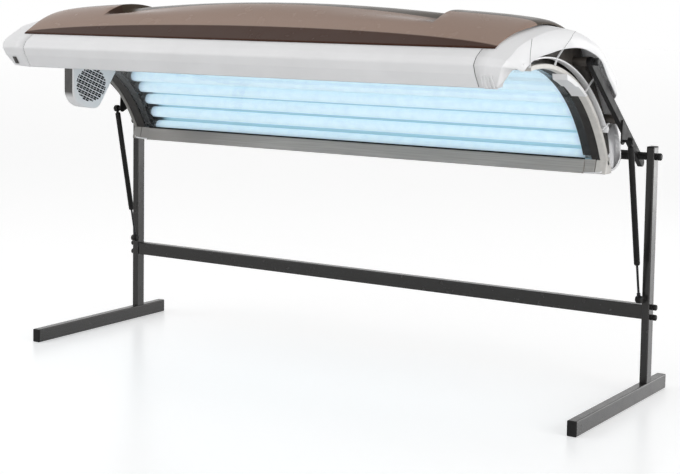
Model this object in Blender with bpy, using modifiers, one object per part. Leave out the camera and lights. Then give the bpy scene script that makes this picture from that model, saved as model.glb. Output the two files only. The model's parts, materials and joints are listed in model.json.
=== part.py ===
"""Half-body tanning canopy on a tube stand, raised. Metres, +Z up, front is -Y, length along X."""
import math

import bmesh
import bpy
from mathutils import Matrix

# Fits
GAP = 0.0003            # between faces that touch
RUN = 0.0005            # between parts that turn or slide on each other
ROUND_SIDES = 12        # flats on round pieces
WELD = 0.000001         # joins a shape's own points
SHARP = 0.7             # radians; edges that turn more than this stay sharp

# Lamps: the usual 100 W size, 1.76 m long over the pins and 38 mm across
LAMP_COUNT = 12
LAMP_FIRST = 25.4       # degrees round the inner centre
LAMP_PITCH = 5.9
LAMP_R = 0.019
LAMP_HALF = 0.8745
PLUG_R = 0.0085
PLUG_LENGTH = 0.007
SOCKET_R = 0.0165
SOCKET_DEPTH = 0.0205   # lamp end to end plate

# Canopy along its length, measured outward from the end plates unless named otherwise
PLATE_T = 0.003
LIP_STOP = 0.065        # lip and skins end this far inside the plate
ACRYLIC_STOP = 0.0093
FRAME_WIDTH = 0.052
COVER_WIDTH = 0.0287
SILL_STOP = 0.030       # rear profile ends this far inside the plate
CAP_PAST = 0.100        # cap's end past the plate
CAP_FACE = 0.023        # length of the cap's end face
CAP_PLAIN = 0.055       # cap's straight part past the lip
CAP_WALL = 0.004
CAP_BEVEL_DROP = 0.020
CAP_FACE_DROP = 0.062
CAP_RING_PAST = (0.029, 0.050)
ARM_PAST = 0.0765       # arm's inner face past the plate

# Stand
POST_WIDTH = 0.025
POST_DEPTH = 0.040
POST_ABOVE = 0.032      # post's top over the axle
FOOT_WIDTH = 0.030
FOOT_HEIGHT = 0.046
FOOT_FRONT = 0.560      # ahead of the post axis
FOOT_REAR = 0.141       # behind the post axis
TUBE_WALL = 0.002
TUBE_CORNER = 0.003
CAP_PLATE = 0.004
CAP_SPIGOT = 0.016
BAR_DEPTH = 0.030
BAR_HEIGHT = 0.046
BAR_BOTTOM = 0.246
BAR_PLUG = 0.020
BAR_BOLT_PITCH = 0.032
BOLT_R = 0.004
BOLT_HEAD_R = 0.0095
BOLT_HEAD_LENGTH = 0.018
BOLT_NOSE = 0.004       # tapered end of a knob
KNOB_TAPER = 0.72

# Arms and their pivots
AXLE_HEIGHT = 0.757
AXLE_R = 0.006
AXLE_HEAD_R = 0.0115
AXLE_TAIL = 0.020       # axle bolt past the arm into the torsion tube
ARM_TOP_ANGLE = 70.9    # degrees round the outer centre
ARM_RIM_GAP = 0.0044    # arm's rounded end to the cap's rim
ARM_WIDTH = 0.028
ARM_TAIL = 0.038        # arm's lower end past the axle
ARM_THICKNESS = 0.016
ARM_POST_SPACE = 0.030  # arm to post
ARM_BOLT_R = 0.005
BUSH_R = 0.012
BRACKET_T = 0.004
BRACKET_R = 0.012
BRACKET_SPAN = (0.72, 1.25)  # its foot on the arm, as shares of the spring's lever
PAD_SHARE = 0.60        # where along the arm the second pad stands
TORSION_R = 0.015
TORSION_WALL = 0.003

# Gas springs
STUD_ABOVE = 0.020      # lower stud over the crossbar
STUD_AHEAD = 0.036      # and ahead of the post axis
STUD_R = 0.004
STUD_HEAD_R = 0.0095
STUD_HEAD_T = 0.003
LUG_T = 0.008
LUG_R = 0.011
SPRING_INSIDE = 0.003   # spring's middle inside the post's inner face
SPRING_LEVER = 0.155    # axle to the upper eye
SPRING_DROP = 17.1      # degrees below the arm line
CYLINDER_R = 0.0095
CYLINDER_LENGTH = 0.350
CYLINDER_NECK_R = 0.005
CYLINDER_NECK = 0.004   # cylinder to its eye
CYLINDER_END = 0.030    # solid end over the rod's bore
ROD_R = 0.004
ROD_INSIDE = 0.060
EYE_R = 0.0125
EYE_WIDTH = 0.012
EYE_ROOT = 0.003        # how far rod and neck run into their eyes
UPPER_BORE_R = 0.0085   # wide, so that a straight-line coupling can stand in for the real arc

# Canopy section in the YZ plane, from the axle
REAR_BACK = 0.0325      # skin's rear edge ahead of the axle
REAR_RISE = 0.0436      # and over it
ACRYLIC_R = 0.535
ACRYLIC_T = 0.003
OUTER_SHIFT = (0.090, 0.140)  # inner to outer centre
OUTER_LESS = 0.020      # outer radius under the acrylic's
SKIN_T = 0.003
LAMP_SPACE = 0.040      # acrylic to lamp centres
MIRROR_SPACE = 0.025    # lamp centres to reflector
REFLECTOR_T = 0.0012
SILL_ANGLE = 26.5       # where the acrylic meets the rear profile
LIP_ANGLE = 106.5       # where the acrylic meets the front lip
SKIN_REAR_ANGLE = 17.0
SKIN_FRONT_ANGLE = 120.6
SEAM_ANGLE = 0.05       # left open between skins that meet edge to edge
SILL_STEP = (-0.0128, -0.0427)
SILL_CORNER_R = 0.030
SILL_FLARE = 0.007
SILL_T = 0.004
LIP_T = 0.003
LIP_SHOULDER = 0.065
LIP_HEEL_STEP = (-0.005, -0.033)
LIP_BOTTOM_STEP = (-0.025, -0.030)
LIP_CREASE_STEP = (-0.049, 0.006)
LIP_NOSE_STEP = (-0.060, 0.033)
LIP_BROW_STEP = (-0.045, 0.054)
FRAME_LESS = 0.002      # arch frame's inside under the acrylic
PLATE_MORE = 0.0125     # plate's inside over the acrylic
PLATE_INSET = 0.0185
CAP_RING_MORE = 0.027
CAP_RING_T = 0.005
CAP_RING_ANGLES = (36.0, 99.0)
RIB_T = 0.004
RIB_ANGLES = (94.0, 75.0, 57.0, 46.0)
RIB_SPAN = (0.42, 0.66)  # along the bevel
CAP_STEP = 4.0          # degrees between the cap's rows
LIP_CURL = (0.10, 0.16, 0.26, 0.36, 0.50, 0.66)   # share of the curl at the lip's points
LIP_LENGTH = (0.50, 0.52, 0.56, 0.60, 0.68, 0.78)  # share of the cap's length there
CURL_FULL = (104.0, 32.0)
CURL_SLOPE = 0.015
LENGTH_FULL = (108.0, 44.0)
LENGTH_SLOPES = (0.018, 0.038)
LENGTH_LEAST = 0.62
SILL_CURL = (0.50, 0.045)
SILL_MARGIN = 0.4       # degrees over the profile where the cap's edge steps out to it
PLATE_ENDS = (3.7, 1.5, 4.6, 4.5)  # degrees that the plate's corners lie inside or past the skins
FRAME_ENDS = (2.0, 1.0)
COVER_ENDS = (1.1, 2.5)
MIRROR_ENDS = (2.5, 4.0)
COVER_MORE = 0.006
COVER_T = 0.0025
CLIP_ANGLES = (57.0, 79.0)
CLIP_STEP = 66.0        # where the clip grows from thin to thick
CLIP_T = (0.010, 0.016)
CLIP_SPAN = (0.017, 0.064)  # past the acrylic
CLIP_CHAMFER = 0.003

# Shield
SHIELD_T = 0.003
SHIELD_SEAT = 0.0006
SHIELD_REAR_ANGLE = 58.0
SHIELD_FRONT_ANGLE = 119.3
SHIELD_PAST_LIP = 0.040
VENT_X = 0.620          # where the wings' scoops open toward the middle
VENT_RAMP = 0.012
BROW_SPAN = 26.0        # degrees over which the shield rises from its front edge
TAIL_SPAN = 20.0        # and falls to its rear edge
WING_RISE = 0.034
CROWN_END_RISE = 0.004
CROWN_RISE = 0.047
SCOOP_ANGLE = 108.0     # ahead of this the wings run into the middle
SCOOP_SPAN = 14.0       # degrees over which the scoops grow to their full height

# Ballasts behind the reflector
BALLAST_ANGLES = (40.0, 60.0)
BALLAST_HALF = 0.560
BALLAST_COUNT = 6
BALLAST_T = 0.040
TRAY_T = 0.003
BALLAST_SHARE = 0.74    # of its pitch
BALLAST_INSET = 3.0     # degrees inside the tray's edges

# Face fan at the left end
FAN_ANGLE = 66.8
FAN_OUT = 0.0195        # fan's middle past the acrylic
FAN_UNDER = 0.088       # fan's axis under the arch frame
FAN_TURN = -15.0
FAN_COVER_T = 0.010
FAN_DEPTH = 0.052
FAN_WALL = 0.003
POD_BACK = 0.104
POD_FRONT = 0.072
POD_CORNER_R = 0.045
POD_HEEL_R = 0.034
POD_CORNER_DROP = 0.078
POD_HEEL_DROP = 0.085
POD_HEEL_SHIFT = 0.012
GRILLE_R = 0.061
SLOT_ROWS = 9
SLOT_PITCH = 0.0125
SLOT_HEIGHT = 0.006
SLOT_TILT = -24.0
SLOT_RIB = 0.006
FAN_R = 0.056
HUB_R = 0.021
MOTOR_R = 0.020
SHAFT_R = 0.003
STRUT_HALF = 0.006
STRUT_T = 0.004
MOTOR_FRONT = -0.004    # from the fan's middle
SHAFT_TIP = 0.010
HUB_FRONT = 0.014
HUB_NOSE = 0.003
BLADES = 7
BLADE_T = 0.0016
BLADE_CHORD = 0.019
BLADE_PITCH = 35.0
BLADE_ROOT = 0.004
BLADE_X = 0.0055

PLATE_X = LAMP_HALF + SOCKET_DEPTH
PLATE_OUT = PLATE_X + PLATE_T
LIP_HALF = PLATE_X - LIP_STOP
SILL_HALF = PLATE_X - SILL_STOP
ACRYLIC_HALF = PLATE_X - ACRYLIC_STOP
CAP_START = LIP_HALF + GAP
CAP_BEVEL = LIP_HALF + CAP_PLAIN
CAP_END = PLATE_X + CAP_PAST
CAP_CREASE = CAP_END - CAP_FACE
ARM_IN = PLATE_X + ARM_PAST
ARM_OUT = ARM_IN + ARM_THICKNESS
POST_IN = ARM_OUT + ARM_POST_SPACE
SPRING_X = POST_IN - SPRING_INSIDE
POST_X = POST_IN + POST_WIDTH / 2
POST_OUT = POST_IN + POST_WIDTH
POST_TOP = AXLE_HEIGHT + POST_ABOVE
STUD_HEIGHT = BAR_BOTTOM + BAR_HEIGHT + STUD_ABOVE
OUTER_R = ACRYLIC_R - OUTER_LESS
LAMP_RING_R = ACRYLIC_R + LAMP_SPACE
REFLECTOR_R = LAMP_RING_R + MIRROR_SPACE
FRAME_IN_R = ACRYLIC_R - FRAME_LESS
PLATE_IN_R = ACRYLIC_R + PLATE_MORE
CAP_RING_R = ACRYLIC_R + CAP_RING_MORE
SHIELD_HALF = LIP_HALF + SHIELD_PAST_LIP
BOSS_R = ARM_WIDTH / 2
SIDES = (("left", -1), ("right", 1))
LAMP_ANGLES = [LAMP_FIRST + LAMP_PITCH * i for i in range(LAMP_COUNT)]


def rad(a):
    return math.radians(a)


def polar(centre, r, a):
    return (centre[0] + r * math.cos(rad(a)), centre[1] + r * math.sin(rad(a)))


def arc(centre, r, a0, a1, steps):
    return [polar(centre, r, a0 + (a1 - a0) * i / steps) for i in range(steps + 1)]


def sector(centre, r0, r1, a0, a1, steps):
    return arc(centre, r0, a0, a1, steps) + arc(centre, r1, a1, a0, steps)


def shifted(point, step):
    return (point[0] + step[0], point[1] + step[1])


AXLE = (0.0, 0.0)
OUTER_C = shifted((-REAR_BACK, REAR_RISE), polar((0.0, 0.0), -OUTER_R, SKIN_REAR_ANGLE))
INNER_C = shifted(OUTER_C, (-OUTER_SHIFT[0], -OUTER_SHIFT[1]))
ARM_TOP = polar(OUTER_C, OUTER_R - CAP_FACE_DROP - CAP_WALL / 2 - ARM_WIDTH / 2 - ARM_RIM_GAP, ARM_TOP_ANGLE)
ARM_REACH = math.hypot(*ARM_TOP)
ARM_ANGLE = math.degrees(math.atan2(ARM_TOP[1], ARM_TOP[0]))
ARM_PAD = polar(AXLE, ARM_REACH * (1 - PAD_SHARE), ARM_ANGLE)
UPPER_EYE = polar(AXLE, SPRING_LEVER, ARM_ANGLE + SPRING_DROP)
SPRING_RISE = AXLE_HEIGHT + UPPER_EYE[1] - STUD_HEIGHT
SPRING_LENGTH = math.hypot(UPPER_EYE[0] + STUD_AHEAD, SPRING_RISE)
SPRING_LEAN = math.atan2(-UPPER_EYE[0] - STUD_AHEAD, SPRING_RISE)
SILL_EDGE = polar(INNER_C, ACRYLIC_R, SILL_ANGLE)
SILL_FRONT = shifted(SILL_EDGE, SILL_STEP)
LIP_EDGE = polar(INNER_C, ACRYLIC_R, LIP_ANGLE)
LIP_HEEL = shifted(LIP_EDGE, LIP_HEEL_STEP)
LIP_BOTTOM = shifted(LIP_EDGE, LIP_BOTTOM_STEP)
LIP_CREASE = shifted(LIP_EDGE, LIP_CREASE_STEP)
LIP_NOSE = shifted(LIP_EDGE, LIP_NOSE_STEP)
LIP_BROW = shifted(LIP_EDGE, LIP_BROW_STEP)
LIP_TOP = polar(OUTER_C, OUTER_R, SKIN_FRONT_ANGLE)
POST_Y = (abs(LIP_NOSE[0]) - FOOT_REAR) / 2
FAN_C = (-ACRYLIC_HALF - FAN_OUT, *polar(INNER_C, FRAME_IN_R - FAN_UNDER, FAN_ANGLE))


def material(name, colour, metallic, roughness, alpha=1.0):
    mat = bpy.data.materials.new(name)
    mat.use_nodes = True
    shader = mat.node_tree.nodes["Principled BSDF"]
    shader.inputs["Base Color"].default_value = (*colour, 1.0)
    shader.inputs["Metallic"].default_value = metallic
    shader.inputs["Roughness"].default_value = roughness
    shader.inputs["Alpha"].default_value = alpha
    return mat


def collection(name):
    group = bpy.data.collections.new(name)
    bpy.context.scene.collection.children.link(group)
    return group


def pivot(name, at, parent=None, turn=(0.0, 0.0, 0.0)):
    empty = bpy.data.objects.new(name, None)
    empty.location = at
    empty.rotation_euler = turn
    empty.parent = parent
    PARTS.objects.link(empty)
    return empty


for old in list(bpy.data.objects):
    bpy.data.objects.remove(old, do_unlink=True)
PARTS = collection("tanning_canopy")
CUTTERS = collection("cutters")

STEEL = material("grey_steel", (0.10, 0.098, 0.098), 0.7, 0.4)
BLACK = material("black_plastic", (0.015, 0.015, 0.015), 0.0, 0.45)
BLACK_STEEL = material("black_steel", (0.02, 0.02, 0.02), 0.6, 0.35)
WHITE = material("white_plastic", (0.78, 0.78, 0.79), 0.0, 0.3)
BROWN = material("brown_shield", (0.14, 0.085, 0.06), 0.1, 0.18)
ALUMINIUM = material("grey_profile", (0.42, 0.41, 0.39), 0.8, 0.4)
MIRROR = material("reflector", (0.8, 0.8, 0.82), 1.0, 0.15)
CLEAR = material("acrylic", (0.75, 0.88, 0.97), 0.0, 0.05, 0.3)
LAMP = material("lamp", (0.72, 0.86, 0.98), 0.0, 0.3)
DARK = material("dark_panel", (0.04, 0.04, 0.038), 0.1, 0.5)
DARK_STEEL = material("dark_steel", (0.05, 0.05, 0.05), 0.6, 0.45)
ROD = material("bright_rod", (0.5, 0.5, 0.5), 1.0, 0.25)
ZINC = material("zinc_plate", (0.35, 0.35, 0.36), 0.8, 0.45)

# Everything hangs on these: the post line on the floor, the axle, and the fan's own axis
STAND = pivot("stand", (0.0, POST_Y, 0.0))
CANOPY = pivot("canopy_pivot", (0.0, 0.0, AXLE_HEIGHT), STAND)
FAN = pivot("fan_pivot", FAN_C, CANOPY, (0.0, 0.0, rad(FAN_TURN)))

# Turns that lay an outline's own plane across an axis, and a round piece's own Z along X
ACROSS = {"X": (math.pi / 2, 0.0, math.pi / 2), "Y": (math.pi / 2, 0.0, 0.0), "Z": (0.0, 0.0, 0.0)}


def along_x(sign):
    return (0.0, sign * math.pi / 2, 0.0)


def part(name, mesh, mat, parent, at=(0.0, 0.0, 0.0), turn=(0.0, 0.0, 0.0)):
    mesh.materials.append(mat)
    mesh.shade_smooth()
    mesh.set_sharp_from_angle(angle=SHARP)
    obj = bpy.data.objects.new(name, mesh)
    obj.parent = parent
    obj.location = at
    obj.rotation_euler = turn
    PARTS.objects.link(obj)
    return obj


def mesh_of(name, bm):
    mesh = bpy.data.meshes.new(name)
    bmesh.ops.recalc_face_normals(bm, faces=bm.faces)
    bm.to_mesh(mesh)
    bm.free()
    return mesh


def extruded(name, loops, start, stop, mat, parent, axis="X"):
    """Flat outline, with any holes, drawn out from start to stop along an axis."""
    curve = bpy.data.curves.new(name, "CURVE")
    curve.dimensions = "2D"
    curve.fill_mode = "BOTH"
    curve.extrude = abs(stop - start) / 2
    for loop in loops:
        spline = curve.splines.new("POLY")
        spline.points.add(len(loop) - 1)
        spline.use_cyclic_u = True
        for point, (u, v) in zip(spline.points, loop):
            point.co = (u, v, 0.0, 1.0)
    outline = bpy.data.objects.new(name, curve)
    bm = bmesh.new()
    bm.from_mesh(bpy.data.meshes.new_from_object(outline))
    bmesh.ops.remove_doubles(bm, verts=bm.verts, dist=WELD)
    bpy.data.objects.remove(outline)
    middle = [(start + stop) / 2 if letter == axis else 0.0 for letter in "XYZ"]
    return part(name, mesh_of(name, bm), mat, parent, middle, ACROSS[axis])


def turned(name, profile, mat, parent, at=(0.0, 0.0, 0.0), turn=(0.0, 0.0, 0.0)):
    """Profile of (height, radius) points down its outer side, turned about its own Z."""
    mesh = bpy.data.meshes.new(name)
    points = [(r, 0.0, z) for z, r in profile]
    mesh.from_pydata(points, [(i, i + 1) for i in range(len(points) - 1)], [])
    obj = part(name, mesh, mat, parent, at, turn)
    screw = obj.modifiers.new("turn", "SCREW")
    screw.steps = ROUND_SIDES
    screw.render_steps = ROUND_SIDES
    screw.use_merge_vertices = True
    screw.merge_threshold = WELD
    return obj


def cylinder(name, r, start, stop, at, mat, parent):
    """Round bar along X, from start to stop, at a point in the YZ plane."""
    bm = bmesh.new()
    length = abs(stop - start)
    bmesh.ops.create_cone(bm, cap_ends=True, segments=ROUND_SIDES, radius1=r, radius2=r, depth=length)
    return part(name, mesh_of(name, bm), mat, parent, ((start + stop) / 2, *at), along_x(1))


def sheet(name, grid, thickness, mat, parent):
    """Open surface through a grid of points, thickened to its inner side."""
    rows, cols = len(grid), len(grid[0])
    faces = []
    for i in range(rows - 1):
        for j in range(cols - 1):
            k = i * cols + j
            faces.append((k, k + 1, k + cols + 1, k + cols))
    mesh = bpy.data.meshes.new(name)
    mesh.from_pydata([p for row in grid for p in row], [], faces)
    obj = part(name, mesh, mat, parent)
    wall = obj.modifiers.new("wall", "SOLIDIFY")
    wall.thickness = thickness
    wall.offset = -1.0
    wall.use_even_offset = True
    return obj


def rounded_rect(centre, w, h, r, steps=2):
    loop = []
    for sx, sy, a in ((1, 1, 0), (-1, 1, 90), (-1, -1, 180), (1, -1, 270)):
        corner = (centre[0] + sx * (w / 2 - r), centre[1] + sy * (h / 2 - r))
        loop += arc(corner, r, a, a + 90, steps)
    return loop


def circle(centre, r):
    return [polar(centre, r, 360 * i / ROUND_SIDES) for i in range(ROUND_SIDES)]


def boolean(obj, tool, operation):
    PARTS.objects.unlink(tool)
    CUTTERS.objects.link(tool)
    tool.hide_render = True
    tool.display_type = "WIRE"
    mod = obj.modifiers.new(operation.lower(), "BOOLEAN")
    mod.operation = operation
    mod.solver = "EXACT"
    mod.object = tool


def cut(obj, tool):
    boolean(obj, tool, "DIFFERENCE")


def add(obj, tool):
    boolean(obj, tool, "UNION")


def bore(obj, at, r, start, stop):
    """Hole along X whose flats clear a round of radius r."""
    wide = (r + GAP) / math.cos(math.pi / ROUND_SIDES)
    cut(obj, cylinder(obj.name + "_bore", wide, start, stop, at, STEEL, obj.parent))


def square_tube(name, axis, centre, w, h, start, stop):
    outer = rounded_rect(centre, w, h, TUBE_CORNER)
    inner = rounded_rect(centre, w - 2 * TUBE_WALL, h - 2 * TUBE_WALL, TUBE_CORNER - TUBE_WALL)
    return extruded(name, [outer, inner], start, stop, STEEL, STAND, axis)


def tube_cap(name, axis, centre, w, h, outside, inward):
    """Plate over a tube's end with a spigot inside it; inward is +1 or -1 along the axis."""
    step = outside + inward * CAP_PLATE
    fit = 2 * (TUBE_WALL + GAP)
    plate = rounded_rect(centre, w, h, TUBE_CORNER)
    spigot = rounded_rect(centre, w - fit, h - fit, TUBE_CORNER - TUBE_WALL)
    obj = extruded(name, [plate], outside, step, BLACK, STAND, axis)
    root, tip = step - inward * CAP_PLATE / 2, step + inward * CAP_SPIGOT
    add(obj, extruded(name + "_spigot", [spigot], root, tip, BLACK, STAND, axis))


def foot(side, sign):
    centre = (sign * POST_X, FOOT_HEIGHT / 2)
    inset = CAP_PLATE + GAP
    size = (FOOT_WIDTH, FOOT_HEIGHT)
    square_tube(side + "_foot", "Y", centre, *size, inset - FOOT_FRONT, FOOT_REAR - inset)
    tube_cap(side + "_foot_front_cap", "Y", centre, *size, -FOOT_FRONT, 1)
    tube_cap(side + "_foot_rear_cap", "Y", centre, *size, FOOT_REAR, -1)


def bar_bolt_heights():
    middle = BAR_BOTTOM + BAR_HEIGHT / 2
    return (("upper", middle + BAR_BOLT_PITCH / 2), ("lower", middle - BAR_BOLT_PITCH / 2))


def stud(obj, at, sign, length, mat):
    """Headed pin fused to a piece; its own Z runs from the head, at this point, into the piece."""
    profile = [(length, 0.0), (length, STUD_R), (STUD_HEAD_T, STUD_R), (STUD_HEAD_T, STUD_HEAD_R)]
    profile += [(0.0, STUD_HEAD_R), (0.0, 0.0)]
    add(obj, turned(obj.name + "_stud", profile, mat, obj.parent, at, along_x(sign)))


def spring_lug(obj, sign):
    """Plate on the front of a post with the stud for the gas spring's rod."""
    inner = SPRING_X + EYE_WIDTH / 2 + RUN
    root = TUBE_WALL / 2 - POST_DEPTH / 2
    outline = arc((-STUD_AHEAD, STUD_HEIGHT), LUG_R, 90, 270, 8)
    outline += [(root, STUD_HEIGHT - LUG_R), (root, STUD_HEIGHT + LUG_R)]
    add(obj, extruded(obj.name + "_lug", [outline], sign * inner, sign * (inner + LUG_T), STEEL, STAND))
    head = SPRING_X - EYE_WIDTH / 2 - RUN - STUD_HEAD_T
    stud(obj, (sign * head, -STUD_AHEAD, STUD_HEIGHT), sign, inner + LUG_T / 2 - head, STEEL)


def post(side, sign):
    x = sign * POST_X
    size = (POST_WIDTH, POST_DEPTH)
    top = POST_TOP - CAP_PLATE - GAP
    obj = square_tube(side + "_post", "Z", (x, 0.0), *size, FOOT_HEIGHT + GAP, top)
    tube_cap(side + "_post_cap", "Z", (x, 0.0), *size, POST_TOP, -1)
    through = (x - POST_WIDTH, x + POST_WIDTH)
    bore(obj, (0.0, AXLE_HEIGHT), AXLE_R, *through)
    for _, z in bar_bolt_heights():
        bore(obj, (0.0, z), BOLT_R, *through)
    spring_lug(obj, sign)


def crossbar():
    half = POST_IN - GAP
    centre = (0.0, BAR_BOTTOM + BAR_HEIGHT / 2)
    obj = square_tube("crossbar", "X", centre, BAR_DEPTH, BAR_HEIGHT, -half, half)
    block = rounded_rect(centre, BAR_DEPTH - TUBE_WALL, BAR_HEIGHT - TUBE_WALL, TUBE_WALL)
    for _, sign in SIDES:
        inner, outer = sign * (half - BAR_PLUG), sign * (half - TUBE_WALL / 2)
        add(obj, extruded("bar_plug", [block], inner, outer, STEEL, STAND))
        for _, z in bar_bolt_heights():
            bore(obj, (0.0, z), BOLT_R, sign * (half - 2 * BAR_PLUG), sign * (half + BAR_PLUG))


def knob_bolt(name, at, sign, shank, shank_r, head_r, parent):
    """Bolt with a tapered knob for a head; its own Z points out, from under the head."""
    nose = BOLT_HEAD_LENGTH - BOLT_NOSE
    profile = [(BOLT_HEAD_LENGTH, 0.0), (BOLT_HEAD_LENGTH, head_r * KNOB_TAPER), (nose, head_r)]
    profile += [(0.0, head_r), (0.0, shank_r), (-shank, shank_r), (-shank, 0.0)]
    turned(name, profile, BLACK, parent, at, along_x(sign))


def post_bolts(side, sign):
    face = POST_OUT + GAP
    x = sign * face
    for level, z in bar_bolt_heights():
        shank = face - POST_IN + BAR_PLUG
        knob_bolt(side + "_" + level + "_bar_bolt", (x, 0.0, z), sign, shank, BOLT_R, BOLT_HEAD_R, STAND)
    shank = face - ARM_IN + AXLE_TAIL
    knob_bolt(side + "_axle_bolt", (x, 0.0, AXLE_HEIGHT), sign, shank, AXLE_R, AXLE_HEAD_R, STAND)


def arm_bolt(side, sign):
    face = ARM_OUT + GAP
    shank = face - PLATE_OUT - BOLT_NOSE - GAP
    knob_bolt(side + "_arm_bolt", (sign * face, *ARM_TOP), sign, shank, ARM_BOLT_R, AXLE_HEAD_R, CANOPY)


def arm(side, sign):
    """Flat bar with a pivot bush to the post, a spring bracket with its stud, and two bores."""
    half = ARM_WIDTH / 2
    tail = polar(AXLE, -ARM_TAIL, ARM_ANGLE)
    outline = arc(tail, half, ARM_ANGLE + 90, ARM_ANGLE + 270, 8)
    outline += arc(ARM_TOP, half, ARM_ANGLE - 90, ARM_ANGLE + 90, 8)
    obj = extruded(side + "_arm", [outline], sign * ARM_IN, sign * ARM_OUT, BLACK_STEEL, CANOPY)
    middle = (ARM_IN + ARM_OUT) / 2
    bush_end = POST_IN - RUN
    add(obj, cylinder(side + "_bush", BUSH_R, sign * middle, sign * bush_end, AXLE, BLACK_STEEL, CANOPY))
    foot_ends = [polar(AXLE, SPRING_LEVER * share, ARM_ANGLE) for share in BRACKET_SPAN]
    outline = arc(UPPER_EYE, BRACKET_R, ARM_ANGLE + 30, ARM_ANGLE + 150, 6) + foot_ends
    plate = sign * (ARM_OUT + BRACKET_T)
    add(obj, extruded(side + "_bracket", [outline], sign * middle, plate, BLACK_STEEL, CANOPY))
    head = SPRING_X + EYE_WIDTH / 2 + RUN + STUD_HEAD_T
    stud(obj, (sign * head, *UPPER_EYE), -sign, head - ARM_OUT - BRACKET_T / 2, BLACK_STEEL)
    bore(obj, AXLE, AXLE_R, sign * (ARM_IN - BRACKET_T), sign * POST_IN)
    bore(obj, ARM_TOP, ARM_BOLT_R, sign * (ARM_IN - BRACKET_T), sign * (ARM_OUT + BRACKET_T))


def torsion_tube():
    half = ARM_IN - GAP
    loops = [circle(AXLE, TORSION_R), circle(AXLE, TORSION_R - TORSION_WALL)]
    extruded("torsion_tube", loops, -half, half, BLACK_STEEL, CANOPY)


def gas_spring(side, sign):
    """Rod and cylinder stand on the lower stud's pivot, along its own Z."""
    at = (sign * SPRING_X, -STUD_AHEAD, STUD_HEIGHT)
    base = pivot(side + "_spring_pivot", at, STAND, (SPRING_LEAN, 0.0, 0.0))
    top = SPRING_LENGTH - EYE_R - CYLINDER_NECK
    mouth = top - CYLINDER_LENGTH
    root, tip = EYE_R - EYE_ROOT, mouth + ROD_INSIDE
    rod = turned(side + "_spring_rod", [(tip, 0.0), (tip, ROD_R), (root, ROD_R), (root, 0.0)], ROD, base)
    neck = SPRING_LENGTH - EYE_R + EYE_ROOT
    hole, end = ROD_R + GAP, top - CYLINDER_END
    profile = [(neck, 0.0), (neck, CYLINDER_NECK_R), (top, CYLINDER_NECK_R), (top, CYLINDER_R)]
    profile += [(mouth, CYLINDER_R), (mouth, hole), (end, hole), (end, 0.0)]
    body = turned(side + "_spring_cylinder", profile, BLACK_STEEL, base)
    half = EYE_WIDTH / 2
    for obj, z, r in ((rod, 0.0, STUD_R), (body, SPRING_LENGTH, UPPER_BORE_R)):
        add(obj, cylinder(obj.name + "_eye", EYE_R, -half, half, (0.0, z), BLACK, base))
        bore(obj, (0.0, z), r, -EYE_WIDTH, EYE_WIDTH)


def right_of(a, b):
    size = math.hypot(b[0] - a[0], b[1] - a[1])
    return ((b[1] - a[1]) / size, (a[0] - b[0]) / size)


def offset(path, d):
    """Move an open path to its right-hand side, by one distance or by one for each point."""
    out = []
    last = len(path) - 1
    for i, p in enumerate(path):
        n = right_of(path[max(i - 1, 0)], path[max(i, 1)])
        m = right_of(path[min(i, last - 1)], path[min(i + 1, last)])
        step = d[i] if isinstance(d, (list, tuple)) else d
        share = step / (1 + n[0] * m[0] + n[1] * m[1])
        out.append((p[0] + (n[0] + m[0]) * share, p[1] + (n[1] + m[1]) * share))
    return out


def offset_loop(loop, d):
    return offset([loop[-1]] + loop + [loop[0]], d)[1:-1]


def sill_path():
    """Rear profile's outside, from the acrylic's edge under and up to the skin."""
    rear = polar(OUTER_C, OUTER_R, SKIN_REAR_ANGLE)
    corner = (rear[0] + SILL_FLARE - SILL_CORNER_R, SILL_FRONT[1] + SILL_CORNER_R)
    return [SILL_EDGE, SILL_FRONT] + arc(corner, SILL_CORNER_R, -90, 0, 6) + [rear]


def lamp_skins():
    low, high = SKIN_REAR_ANGLE + SEAM_ANGLE, SKIN_FRONT_ANGLE - SEAM_ANGLE
    skin = sector(OUTER_C, OUTER_R - SKIN_T, OUTER_R, low, high, 32)
    half = LIP_HALF - GAP
    extruded("rear_skin", [skin], -half, half, WHITE, CANOPY)
    low, high = SILL_ANGLE + SEAM_ANGLE, LIP_ANGLE - SEAM_ANGLE
    clear = sector(INNER_C, ACRYLIC_R, ACRYLIC_R + ACRYLIC_T, low, high, 24)
    extruded("acrylic_sheet", [clear], -ACRYLIC_HALF, ACRYLIC_HALF, CLEAR, CANOPY)
    low, high = LAMP_ANGLES[0] - MIRROR_ENDS[0], LAMP_ANGLES[-1] + MIRROR_ENDS[1]
    mirror = sector(INNER_C, REFLECTOR_R, REFLECTOR_R + REFLECTOR_T, low, high, 24)
    extruded("reflector", [mirror], GAP - PLATE_X, PLATE_X - GAP, MIRROR, CANOPY)


def rear_profile():
    outside = sill_path()
    inside = offset(outside, -SILL_T)
    inside[0] = polar(INNER_C, ACRYLIC_R + SILL_T, SILL_ANGLE)
    inside[-1] = polar(OUTER_C, OUTER_R - SILL_T, SKIN_REAR_ANGLE)
    half = SILL_HALF - GAP
    extruded("rear_profile", [outside + inside[::-1]], -half, half, ALUMINIUM, CANOPY)


def front_lip():
    shoulder = polar(INNER_C, ACRYLIC_R + LIP_SHOULDER, LIP_ANGLE)
    loop = [LIP_HEEL, LIP_EDGE, shoulder, LIP_TOP, LIP_BROW, LIP_NOSE, LIP_CREASE, LIP_BOTTOM]
    half = LIP_HALF - GAP
    extruded("front_lip", [loop, offset_loop(loop, -LIP_T)], -half, half, WHITE, CANOPY)


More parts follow.
